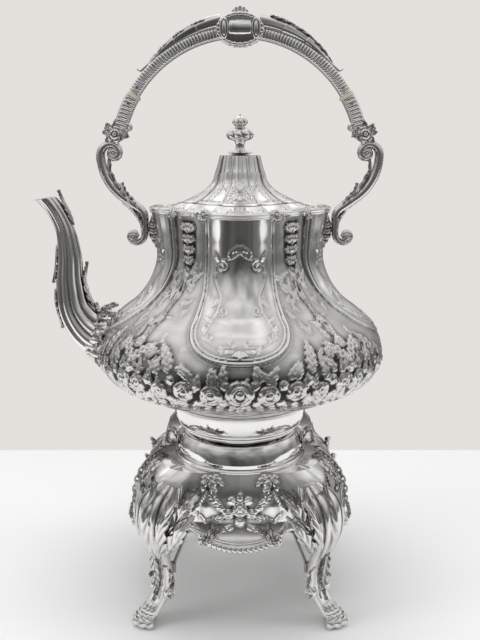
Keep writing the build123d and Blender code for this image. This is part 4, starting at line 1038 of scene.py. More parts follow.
    def make_rim(self, shop: Workshop) -> None:
        """Reeded rim with shells and scrolls over its creases."""
        theta = turns(900)
        half = np.radians(self.panel_deg)
        section = [(-3.5, 0.2), (-3.5, 3.0), (-2.4, 3.5), (-0.9, 3.4), (-0.1, 2.6), (0.4, 2.9), (1.2, 2.6), (1.5, 1.8),
                   (1.0, 1.1), (0.7, 0.8), (1.1, 0.3), (0.9, -0.5), (0.2, -0.9), (-0.6, -0.6)]
        rings = []
        for grow, up in curve([*section, section[0]], 56)[:-1]:
            radius = lobed(theta, self.rim_reach + grow, self.rim_base + grow, half)
            rings.append(spin(radius, np.array(self.top_z + min(up, self.rim_t + 0.25)), theta))
        shop.ring("reeded_rim", np.stack(rings), "polished_silver", Body.KETTLE, replaces=["rim_moulding"])
        parts, blobs = [], []
        for quarter in range(4):
            for side in (-1, 1):
                angle = math.radians(90 * quarter + side * self.panel_deg)
                out = np.array((math.cos(angle), math.sin(angle), 0))
                centre = out * (self.rim_base + 2.0) + (0, 0, self.top_z + 0.6)
                parts.append(flower_disc(centre, out + (0, 0, 0.75), 4.6, 7, 2.0, 2.0))
                for s in (-1, 1):
                    away = np.array((-out[1], out[0], 0)) * s
                    ends = (centre + away * 2, centre + away * 6 + out * 1.3, centre + away * 10 + out * 0.6)
                    points, wall, _ = leaf_sheet(curve(ends, 14), out * 0.4 + (0, 0, 1), 2.0, 3, 0.5, 11, 0.8)
                    blobs.append((points, wall, None))
        shop.union("rim_shell_flowers", parts, "cast_silver", Body.KETTLE, replaces=["rim_shells"])
        shop.slab("rim_shell_leaves", blobs, "cast_silver", Body.KETTLE)

    def make_deck(self, shop: Workshop) -> None:
        """Lobed top plate with an engraved wreath, sloping up to the lid."""
        theta = turns(720)
        rows = np.linspace(0, 1, 44)[:, None]
        outer = lobed(theta, self.rim_reach - 3.5, self.rim_base - 3.5, np.radians(self.panel_deg))[None]
        inner = lobed(theta, 41.5, 34.5, np.radians(25.0))[None]
        radius = outer + (inner - outer) * rows
        z = self.top_z + 0.8 + (self.deck_z - self.top_z - 0.8) * (rows - 0.10 * np.sin(math.pi * rows))
        hole = np.full((1, len(theta)), 33.2)
        radius = np.concatenate([radius, hole])
        z = np.concatenate([z, [[self.deck_z]]])
        points = spin(radius, z, theta[None])
        relief = Relief(theta, 14 * rows[:, 0], np.linspace(52, 38, 44))
        for k in range(24):
            relief.stamp(leaf(7, 1.9, 0.45, 3, 0.2), 15 * k, 7.0, 9, 24 if k % 2 else -24)
            relief.stamp(dome(1.1, 1.1, 0.6), 15 * k + 7.5, 7.0, 3)
        lift = np.concatenate([relief.height, np.zeros((1, len(theta)))])
        top = points + (0, 0, 1) * lift[..., None]
        under = points[::-1] - (0, 0, 1.3)
        recess = np.concatenate([hollows(lift, 2, 0.25), 0.2 + np.zeros(under.shape[:2])])
        shop.ring("engraved_top_plate", np.concatenate([top, under]), "polished_silver", Body.KETTLE, recess=recess,
                  replaces=["top_plate"])


# ---------------------------------------------------------------- lid
@dataclass
class Lid:
    """Bell-shaped lobed lid with its beaded disc and bud finial."""

    low: float = 293.9
    high: float = 31.7
    reach: float = 40.0
    base: float = 33.0
    top: float = 14.0
    half_deg: float = 25.0
    bulb: float = 8.0
    finial_h: float = 25.5

    def build(self, shop: Workshop) -> None:
        """Make the bell, the disc and the finial."""
        theta = turns(640)
        share = smooth((0, 0.12, 0.32, 0.68, 1), (1, 0.69, 0.32, 0.11, 0), np.linspace(0, 1, 90))[:, None]
        z = self.low + self.high * np.linspace(0, 1, 90)[:, None]
        top_base = 0.88 * self.top
        half = math.radians(self.half_deg)
        reach = self.top + (self.reach - self.top) * share
        base = top_base + (self.base - top_base) * share
        radius = lobed(theta[None], reach, base, half)
        points = spin(radius, z, theta[None])
        run = np.concatenate([[0], np.cumsum(np.hypot(np.diff(z[:, 0]), np.diff(reach[:, 0])))])
        relief = Relief(theta, run, ((reach + base) / 2)[:, 0])
        t = np.abs(from_lobe(theta))[None]
        inside = (half - t) * relief.span[:, None]
        border = half_round(inside, 1.1, 0.8, 0.55) + half_round(run[:, None], 2.2, 0.7, 0.3)
        border -= 0.35 * np.exp(-((inside / 0.5) ** 2))
        relief.height = border * np.clip((46 - run[:, None]) / 4, 0, 1)
        for quarter in range(4):
            self.chase_lobe(relief, 90 * quarter)
            relief.stamp(leaf(24, 2.6, 0.6, 6), 90 * quarter + 45, 6, 26, 90)
        out = points + normals(points, True) * relief.height[..., None]
        lip = spin(lobed(theta, np.array(self.reach - 0.9), np.array(self.base - 0.9), np.array(half)),
                   np.array(self.low), theta)[None]
        inner = (points - 1.1 * normals(points, True))[-2:2:-6]
        hub = spin(np.full(len(theta), 1.6), np.array(self.low + self.high), theta)[None]
        under = spin(np.full(len(theta), 1.6), np.array(self.low + self.high - 1.2), theta)[None]
        recess = np.concatenate([np.zeros((1, 640)), hollows(relief.height, 3, 0.3), np.zeros((2 + len(inner), 640))])
        shop.ring("bell_lid", np.concatenate([lip, out, hub, under, inner]), "polished_silver", Body.LID,
                  recess=recess, replaces=["lid"])
        self.make_bezel(shop)
        self.make_finial(shop)

    def chase_lobe(self, relief: Relief, at_deg: float) -> None:
        """Engraved scrolls in one wide lobe of the lid."""
        for side in (-1, 1):
            for line in (coil(side * 5.2, 6, 3.0, 0.8, -90, side * 420), curve([(side * 5.2, 3), (0, 1.8)], 4),
                         coil(side * 3.2, 15, 2.2, 0.6, -90, side * 420),
                         curve([(side * 8.2, 6), (side * 5.4, 15)], 8)):
                relief.stamp(stroke(line, 0.5, 0.4), at_deg, 3.0, 24)
            relief.stamp(leaf(9, 1.9, 0.45, 3, 0.2 * side), at_deg, 20, 12, 90 - side * 26)
        relief.stamp(shell(4.2, 5, 0.6), at_deg, 9, 7)

    def make_bezel(self, shop: Workshop) -> None:
        """Thin ring under the lid that drops into the seat."""
        shape = curve([(30.0, self.low + 2.6), (31.2, self.low - 0.2), (30.6, self.low - 4.4), (29.4, self.low - 4.4),
                       (29.2, self.low + 1.5), (30.0, self.low + 2.6)], 18)[:-1]
        points = spin(shape[:, :1], shape[:, 1:], turns(120)[None])
        shop.ring("lid_bezel", points, "polished_silver", Body.LID)

    def make_finial(self, shop: Workshop) -> None:
        """Beaded disc, stem, gadrooned bulb and bud."""
        low = self.low + self.high
        theta = turns(144)
        disc = curve([(4, low), (6.0, low + 0.2), (7.2, low + 1.0), (9.1, low + 1.7), (7.2, low + 2.3),
                      (4, low + 2.4)], 30)
        bead = 0.55 * np.abs(np.sin(12 * theta))[None] * np.exp(-((disc[:, :1] - 9) / 1.1) ** 2)
        shop.grid("beaded_disc", spin(disc[:, :1] + bead - 0.4, disc[:, 1:], theta[None]), "polished_silver", Body.LID,
                  replaces=["finial_disc"])
        low += 2.4
        h = self.finial_h
        shares = ((0.57, 0), (0.45, 0.05), (0.37, 0.14), (0.46, 0.27), (1.04, 0.36), (1.14, 0.45), (0.92, 0.57),
                  (0.44, 0.67), (0.66, 0.77), (0.56, 0.86), (0.22, 0.945), (0.05, 1.0))
        line = curve([(k * self.bulb, low - 0.1 + v * h) for k, v in shares], 130)
        up = ((line[:, 1] - low) / h)[:, None]
        swirl = np.abs(np.sin(4 * theta[None] + 5 * up)) ** 0.6
        knob = np.exp(-(((up - 0.46) / 0.10) ** 2)) * 1.7 + np.exp(-(((up - 0.79) / 0.06) ** 2)) * 1.1
        lift = knob * (swirl - 0.75)
        radius = np.maximum(line[:, :1] + lift, 0.2)
        recess = np.clip((0.55 - swirl) * 1.6, 0, 1) * np.clip(knob, 0, 1)
        shop.grid("bud_finial", spin(radius, line[:, 1:], theta[None]), "cast_silver", Body.LID, recess=recess,
                  replaces=["finial"])


# ---------------------------------------------------------------- spout
@dataclass
class Spout:
    """Fluted spout with a scrolled socket, leaves and an open beak."""

    belly_r: float = 100.5
    root_z: float = 196.3
    tip_z: float = 295.3
    reach: float = 142.0
    root_r: float = 18.5
    mouth_r: float = 6.0
    flutes: int = 10

    def stations(self) -> tuple:
        """Centre line (x, z) and radii, from the root to the beak."""
        rise = self.tip_z - self.root_z
        spots = ((-(self.belly_r - 9), 0.0, self.root_r + 1.5), (-(self.belly_r + 6), 0.055, self.root_r - 2),
                 (-0.83 * self.reach, 0.20, 0.5 * self.root_r + 0.6 * self.mouth_r),
                 (-0.853 * self.reach, 0.40, 0.27 * self.root_r + 0.9 * self.mouth_r),
                 (-0.852 * self.reach, 0.62, 0.08 * self.root_r + 1.15 * self.mouth_r),
                 (-0.87 * self.reach, 0.80, 1.12 * self.mouth_r), (-0.915 * self.reach, 0.94, 1.05 * self.mouth_r),
                 (-0.985 * self.reach, 1.06, self.mouth_r))
        table = curve([(x, self.root_z + rise * s, r) for x, s, r in spots], 170)
        return table[:, :2], table[:, 2]

    def build(self, shop: Workshop) -> None:
        """Make the spout, its socket and its leaves."""
        line, radius = self.stations()
        along = directions(line)
        a = turns(160)[None]
        ridge = np.abs(np.cos(self.flutes * a / 2)) ** 1.4
        s = np.linspace(0, 1, len(line))[:, None]
        depth = 0.13 * radius[:, None] * np.clip((1.02 - s) * 5, 0.35, 1)
        r = radius[:, None] - depth * (1 - ridge)
        out = self.place(line, along, r, a)
        inner = self.place(line, along, (0.9 * radius[:, None] - 1.2) + 0 * a, a)
        cut = self.tip_z + 0.158 * (out[..., 0] + self.reach)
        out[..., 2] = np.minimum(out[..., 2], cut)
        cut = self.tip_z + 0.158 * (inner[..., 0] + self.reach)
        inner[..., 2] = np.minimum(inner[..., 2], cut)
        recess = np.clip(1 - ridge * 1.7, 0, 1) * np.clip(1.3 - s, 0.5, 1) * 0.9 + 0 * s
        every = np.concatenate([out[6:], inner[::-4][:-2]])
        recess = np.concatenate([recess[6:], 0.5 + np.zeros((len(inner[::-4]) - 2, 160))])
        shop.grid("fluted_spout", every, "chased_silver", Body.KETTLE, recess=recess, replaces=["spout"])
        self.make_socket(shop)
        self.make_leaves(shop)

    def place(self, line: Array, along: Array, r: Array, a: Array) -> Array:
        """Rings of radius r across the spout's line."""
        x = line[:, :1] - along[:, 1:] * r * np.cos(a)
        z = line[:, 1:] + along[:, :1] * r * np.cos(a)
        return np.stack([x, r * np.sin(a), z], -1)

    def make_socket(self, shop: Workshop) -> None:
        """Shell fan and scroll leaves round the spout's root."""
        centre = np.array((-(self.belly_r - 10), 0, self.root_z - 1))
        rows = np.linspace(0.12, 1.42, 54)[:, None]
        a = turns(260)[None]
        relief = 1.5 * np.abs(np.cos(9 * a)) ** 0.8 * np.sin(np.clip(rows - 0.1, 0, 1.3) / 1.3 * math.pi) ** 0.5
        relief = relief + half_round(rows, 0.62, 0.07, 1.0)
        r = 21.4 + relief
        x = centre[0] - r * np.cos(rows)
        y = r * np.sin(rows) * np.sin(a)
        z = centre[2] + r * np.sin(rows) * np.cos(a)
        points = np.stack([x + 0 * a, y, z], -1)
        shop.grid("spout_socket_shell", points, "cast_silver", Body.KETTLE, recess=hollows(relief, 2, 0.5),
                  replaces=["spout_socket"])
        sheets = []
        for k in range(9):
            angle = math.radians(-130 + 32.5 * k)
            spread = np.array((0, math.sin(angle), math.cos(angle)))
            spine = [centre + (-20 * math.cos(p), 0, 0) + spread * (21 * math.sin(p) + q) for p, q in
                     ((0.9, 1.2), (1.15, 2.6), (1.4, 3.4), (1.62, 5.0))]
            across = np.cross(spread, (1, 0, 0))
            sheets.append(leaf_sheet(curve(spine, 22), across, 4.6, 4, 0.8, 15, 0.9))
        shop.slab("spout_root_leaves", sheets, "cast_silver", Body.KETTLE)

    def make_leaves(self, shop: Workshop) -> None:
        """Leaf knob on the inner side, leaf on the outer side and the thumb leaf at the beak."""
        line, radius = self.stations()
        along = directions(line)
        inner = np.stack([along[:, 1], -along[:, 0]], 1)

        def spine(start: int, stop: int, side: int, lift: Sequence[float]) -> Array:
            picks = np.linspace(start, stop, len(lift)).astype(int)
            spots = [line[i] + side * inner[i] * (radius[i] + k) for i, k in zip(picks, lift)]
            return plane_line(spots, 26)

        sheets = []
        for start, stop, side, lift, width in (
            (42, 96, 1, (0.4, 1.2, 1.0, 3.6), 5.0),
            (70, 40, -1, (0.6, 1.0, 0.8, 2.2), 4.8),
            (112, 76, -1, (0.4, 1.0, 1.0, 2.4), 4.0),
            (128, 158, 1, (0.2, 1.4, 2.0, 4.6), 3.2),
            (20, 46, 1, (0.5, 1.0, 1.2, 3.0), 6.0),
        ):
            sheets.append(leaf_sheet(spine(start, stop, side, lift), (0, 1, 0), width, 5, 0.9, 15, 0.9))
        shop.slab("spout_leaves", sheets, "cast_silver", Body.KETTLE)


# ---------------------------------------------------------------- handle
@dataclass
class Handle:
    """Fixed overhead handle: ribbed grip, leaf ridge, cartouche, insulators and scrolled arms."""

    arc_r: float = 84.6
    arc_z: float = 321.4
    grip: float = 4.5
    end_deg: float = 32.0
    gap_deg: float = 1.625
    arm_x: float = 95.5
    arm_z: float = 326.8
    crest: float = 8.0

    def arc(self, start: float, stop: float, count: int) -> Array:
        """Points of the handle's arc between two angles in degrees."""
        a = np.radians(np.linspace(start, stop, count))
        return np.stack([self.arc_r * np.cos(a), 0 * a, self.arc_z + self.arc_r * np.sin(a)], 1)

    def ribs(self, pitch: float, length: float) -> Callable:
        """Slanting gadroons between two wires, as a relief for a tube."""

        def relief(s: Array, a: Array) -> Array:
            wire = np.abs(np.sin(a)) ** 6
            flat = np.clip(np.abs(np.cos(a)) * 1.25, 0, 1) ** 3
            rail = np.clip(1.6 - 2.6 * np.abs(np.sin(a) - 0.9), 0, 1)
            return 0.8 * flat * (1 - rail) * (np.abs(np.sin(math.pi * s * length / pitch)) ** 0.55 - 0.85) + 0.25 * wire

        return relief

    def build(self, shop: Workshop) -> None:
        """Make every piece of the handle."""
        length = math.radians(180 - 2 * self.end_deg) * self.arc_r
        line = self.arc(self.end_deg, 180 - self.end_deg, 560)
        points, recess = tube(line, (0, 1, 0), self.grip - 0.3, self.grip - 0.7, 40, 3.4, self.ribs(2.1, length))
        shop.grid("ribbed_grip", points, "chased_silver", Body.KETTLE, recess=recess, replaces=["handle_grip"])
        self.make_crest(shop)
        self.make_cartouche(shop)
        for side, word in ((1, "right"), (-1, "left")):
            self.make_side(shop, side, word)

    def make_crest(self, shop: Workshop) -> None:
        """Overlapping leaves on the grip, ending in a curled tip at each side."""
        parts, sheets = [], []
        for side in (-1, 1):
            t = np.linspace(0, 1, 90)
            a = np.radians(90 - side * (8 + 38 * t))
            inner = self.arc_r + 2.6
            high = self.grip + self.crest - 2.6 - (self.crest + 0.2) * t**1.7
            middle = inner + high / 2
            line = np.stack([middle * np.cos(a), 0 * a, self.arc_z + middle * np.sin(a)], 1)

            def relief(s: Array, g: Array) -> Array:
                return 0.35 * np.abs(np.cos(3.5 * g + 2.2 * s)) + 0.5 * (1 - (3.6 * s) % 1) ** 2 - 0.3

            tall = np.maximum(high / 2 - 0.4, 0.6)
            parts.append(tube(line, (0, 1, 0), np.linspace(4.4, 1.6, 90), tall, 32, 2.2, relief))
            hook = [self.crest_point(90 - side * d, up) for d, up in ((42, 0.6), (45.5, 0.8), (48.5, 2.2), (48.6, 3.9))]
            parts.append(tube(curve(hook, 18), (0, 1, 0), np.linspace(1.5, 0.8, 18), np.linspace(1.2, 0.7, 18), 14))
            for k in range(3):
                start, stop = 12 + 9 * k, 27 + 8.5 * k
                spots = []
                for d in (start, (start + stop) / 2, stop):
                    spots.append(self.crest_point(90 - side * d, self.crest * (1 - ((d - 8) / 38) ** 1.7) + 0.1))
                sheets.append(leaf_sheet(curve(spots, 24), (0, 1, 0), 4.4 - 0.7 * k, 4, 0.7, 15, 0.7))
        shop.union("crest_ridge", parts, "chased_silver", Body.KETTLE, replaces=["handle_crest"])
        shop.slab("crest_leaves", sheets, "chased_silver", Body.KETTLE)

    def crest_point(self, angle: float, lift: float) -> tuple:
        """A point over the grip at an angle in degrees and a height above its outer face."""
        r, a = self.arc_r + self.grip - 0.6 + lift, math.radians(angle)
        return (r * math.cos(a), 0.0, self.arc_z + r * math.sin(a))

    def make_cartouche(self, shop: Workshop) -> None:
        """Oval cartouche with a plain barrel across it, side bosses and a shell on top."""
        z = self.arc_z + self.arc_r + 1.5
        a = np.linspace(0, 2 * math.pi, 97)[:-1]
        oval = np.stack([14.6 * np.cos(a), 0 * a, z + 9.6 * np.sin(a)], 1)
        frame_parts = []
        for y in (-5.2, 5.2):
            band = oval + (0, y, 0)
            g = turns(14)
            out = np.stack([np.cos(a), 0 * a, np.sin(a)], 1)
            wire = 1.25 + 0.25 * np.cos(24 * a)[:, None]
            sideways = np.array((0, 1, 0)) * (wire * np.sin(g))[..., None]
            ring = band[:, None] + out[:, None] * (wire * np.cos(g))[..., None] + sideways
            frame_parts.append(np.concatenate([ring, ring[:1]]))
        plate = []
        rim = np.stack([14.4 * np.cos(a), 0 * a, 9.4 * np.sin(a)], 1)
        for y, k in ((-5.6, 0.02), (-5.9, 0.5), (-5.2, 0.97), (5.2, 0.97), (5.9, 0.5), (5.6, 0.02)):
            plate.append(rim * (k, 1, k) + (0, y, z))
        barrel = [np.stack([np.full(48, x), r * np.cos(turns(48)), z + 1 + r * np.sin(turns(48))], 1) for x, r in
                  curve([(-7.8, 5.6), (-7.2, 6.9), (-5, 7.2), (0, 7.4), (5, 7.2), (7.2, 6.9), (7.8, 5.6)], 30)]
        parts = [(np.stack(plate), 0.55), (np.stack(barrel), None)]
        parts += [(p, None) for p in frame_parts]
        for side in (-1, 1):
            for y in (-1, 1):
                parts.append((ball((side * 10.6, y * 5.8, z + 0.5), (1.7, 1.9, 5.2), 16, 24), 0.0))
                ring = np.stack([side * 10.6 + 2.5 * np.cos(a), 0 * a + y * 6.0, z + 0.5 + 6.4 * np.sin(a)], 1)
                edge = tube(np.concatenate([ring, ring[:1]]), (0, 1, 0), 1.0, 0.55, 10)
                parts.append(edge)
        shop.union("oval_cartouche", parts, "polished_silver", Body.KETTLE, replaces=["cartouche"])
        top = self.arc_z + self.arc_r + self.grip + self.crest - 2.6
        lobes = []
        for k in range(7):
            tilt = math.radians(90 + 26 * (k - 3))
            tip = np.array((6.2 * math.cos(tilt), 0, 6.2 * math.sin(tilt)))
            root = np.array((0, 0, top))
            line = curve([root - tip * 0.1, root + tip * 0.5, root + tip], 14)
            lobes.append(tube(line, (0, 1, 0), np.linspace(1.6, 1.9, 14), np.linspace(0.5, 1.25, 14), 12))
        lobes.append((ball((0, 0, top), (3.0, 2.4, 1.8)), None))
        shop.union("crowning_shell", lobes, "cast_silver", Body.KETTLE, replaces=["handle_fan"])

    def make_side(self, shop: Workshop, side: int, word: str) -> None:
        """Insulator, stub, flowers, scrolled arm and bracket of one side."""
        flip = (side, 1, 1)
        end = self.end_deg
        insulator, _ = tube(self.arc(end - self.gap_deg, end, 12), (0, 1, 0), 5.3, 5.3, 40, 3.4)
        shop.grid(f"bone_insulator_{word}", insulator * flip, "bone_insulator", Body.KETTLE, slot=Slot.IVORY,
                  replaces=[f"insulator_{word}"])
        stub_line = self.arc(end - self.gap_deg, end - self.gap_deg - 15.4, 90)
        stub_line[:, 0] = np.where(stub_line[:, 0] > 83.0, 83.0 + (stub_line[:, 0] - 83.0) * 0.55, stub_line[:, 0])
        parts = [tube(stub_line, (0, 1, 0), self.grip, self.grip, 36, 3.4, self.ribs(2.7, 23))]
        foot = stub_line[-1]
        for k in (0, 1):
            coil_line = coil(foot[0] - 5.0, foot[2] + 1.0, 3.0, 0.9, 0, 460, 44)
            line = np.stack([coil_line[:, 0], np.full(44, -1.8 + 3.6 * k), coil_line[:, 1]], 1)
            parts.append(tube(line, (0, 1, 0), 2.2, 0.85, 12))
        shop.union(f"ribbed_stub_{word}", mirrored(parts, flip), "chased_silver", Body.KETTLE,
                   replaces=[f"handle_stub_{word}"])
        self.make_arm(shop, flip, word)
        self.make_bouquet(shop, flip, word, foot)

    def arm_line(self) -> tuple:
        """Centre line of the scrolled arm from eye to eye, and the middles of its two volutes."""
        runs = ((3.6, -90), (5.6, -90), (7.0, -90), (36, -55), (12.5, 0), (8.4, 55), (10.5, 0), (6.8, 90), (4.7, 90),
                (3.4, 90), (2.2, 150), (1.2, 120))
        points, centres = scroll((self.arm_x - 8.6, self.arm_z - 3.0), 180, runs)
        top = centres[0]
        start = math.degrees(math.atan2(points[0][1] - top[1], points[0][0] - top[0]))
        eye = coil(top[0], top[1], 1.0, 3.6, start + 300, -300, 30)
        return np.concatenate([eye[:-1], points]), (top, centres[-3])

    def make_arm(self, shop: Workshop, flip: Sequence[float], word: str) -> None:
        """C-scroll arm with a leaf along it, rosettes in its volutes and the bracket to the neck."""
        points, middles = self.arm_line()
        line = np.stack([points[:, 0], 0 * points[:, 0], points[:, 1]], 1)
        s = np.linspace(0, 1, len(line))
        thick = 0.9 + 2.5 * np.sin(math.pi * s) ** 0.8

        def relief(share: Array, a: Array) -> Array:
            beads = 0.5 * np.abs(np.sin(70 * math.pi * share)) * np.clip(np.sin(a), 0, 1) ** 3
            edges = 0.7 * np.abs(np.cos(a)) ** 10
            return beads + edges - 0.35

        parts = [tube(line, (0, 1, 0), 3.7, thick, 32, 3.0, relief)]
        for (x, z), r in zip(middles, (3.0, 3.4)):
            for y in (-1, 1):
                parts.append(flower_disc((x, 3.6 * y, z), (0, y, 0), r, 6, 1.5, 3.2))
        shop.union(f"scroll_arm_{word}", mirrored(parts, flip), "cast_silver", Body.KETTLE,
                   replaces=[f"handle_arm_{word}"])
        x, z = self.arm_x, self.arm_z
        sheets = []
        for spots, width in (
            ([(x - 24.5, z - 40), (x - 17.5, z - 32), (x - 9.0, z - 20), (x - 5.0, z - 10), (x - 6, z - 2)], 4.6),
            ([(x - 27.0, z - 42), (x - 22.0, z - 34), (x - 15.0, z - 25), (x - 13.5, z - 20)], 4.2),
            ([(x - 5.0, z - 22), (x + 0.4, z - 11), (x + 2.0, z + 0), (x - 2, z + 6.5)], 4.1),
            ([(x - 27.5, z - 58), (x - 26.5, z - 48), (x - 21.5, z - 40), (x - 14, z - 33)], 4.0),
        ):
            sheets.append(leaf_sheet(plane_line(spots, 40), (0, 1, 0), width, 6, 0.8, 17, 0.9))
        shop.slab(f"arm_leaves_{word}", mirrored(sheets, flip), "cast_silver", Body.KETTLE)
        self.make_bracket(shop, flip, word)

    def make_bracket(self, shop: Workshop, flip: Sequence[float], word: str) -> None:
        """Leaf bracket that joins the arm to the kettle's neck."""
        low, high = 258.5, 286.0
        points, _ = self.arm_line()
        left = float(points[(points[:, 1] > low) & (points[:, 1] < high), 0].min()) - 1.6
        line = curve([(56.5, low), (left - 4, low + 7), (left - 0.8, low + 14), (left - 0.8, high - 10),
                      (left - 3, high - 3), (57.0, high)], 50)
        mid = np.stack([(line[:, 0] + 55) / 2, 0 * line[:, 0], line[:, 1]], 1)
        half = np.maximum((line[:, 0] - 55) / 2, 1.2)

        def relief(s: Array, a: Array) -> Array:
            return 0.7 * (np.abs(np.sin(8 * math.pi * s + 1.2 * np.abs(np.cos(a)))) - 0.8)

        points, recess = tube(mid, (0, 1, 0), 4.6, half, 30, 2.6, relief)
        shop.union(f"leaf_bracket_{word}", [(points * flip, np.clip(recess + 0.35, 0, 1))], "cast_silver",
                   Body.KETTLE, replaces=[f"arm_bracket_{word}"])

    def make_bouquet(self, shop: Workshop, flip: Sequence[float], word: str, foot: Array) -> None:
        """Flowers and leaves where the stub meets the arm."""
        x, z = foot[0] + 3.5, foot[2] - 3.5
        parts = []
        for y in (-1, 1):
            parts.append(flower_disc((x, 4.2 * y, z), (0.1, y, 0.1), 5.4, 5, 2.2, 4.6))
            for k in range(3):
                angle = math.radians(35 + 125 * k)
                where = (x + 5.6 * math.cos(angle), 3.0 * y, z + 5.6 * math.sin(angle))
                parts.append(flower_disc(where, (0.5 * math.cos(angle), y, 0.5 * math.sin(angle)), 3.4, 5, 1.5, 3.4))
        sheets = []
        for angle, size in ((95, 9.5), (50, 9.0), (10, 8.5), (-35, 8.0), (150, 8.0), (190, 8.5)):
            c, s = math.cos(math.radians(angle)), math.sin(math.radians(angle))
            for y in (-1, 1):
                spine = curve([(x + 2 * c, 2.2 * y, z + 2 * s), (x + 0.7 * size * c, 3.6 * y, z + 0.7 * size * s),
                               (x + size * c, 2.0 * y, z + size * s)], 16)
                sheets.append(leaf_sheet(spine, (-s, 0, c), 2.5, 3, 0.6, 11, 0.8))
        shop.union(f"handle_flowers_{word}", mirrored(parts, flip), "cast_silver", Body.KETTLE,
                   replaces=[f"handle_flower_{word}"])
        shop.slab(f"handle_flower_leaves_{word}", mirrored(sheets, flip), "cast_silver", Body.KETTLE)


# ---------------------------------------------------------------- stand
def cushion_outline(a: float, b: float, count: int = 120) -> Array:
    """A quarter of the stand's level outline, from the side's middle to the front's middle."""
    spots = ((a, 0), (0.989 * a, 0.27 * b), (0.955 * a, 0.52 * b), (0.831 * a, 0.809 * b), (0.62 * a, 0.95 * b),
             (0.32 * a, 0.988 * b), (0, b))
    line = curve(spots, count)
    line[0, 1], line[-1, 0] = 0, 0
    return line


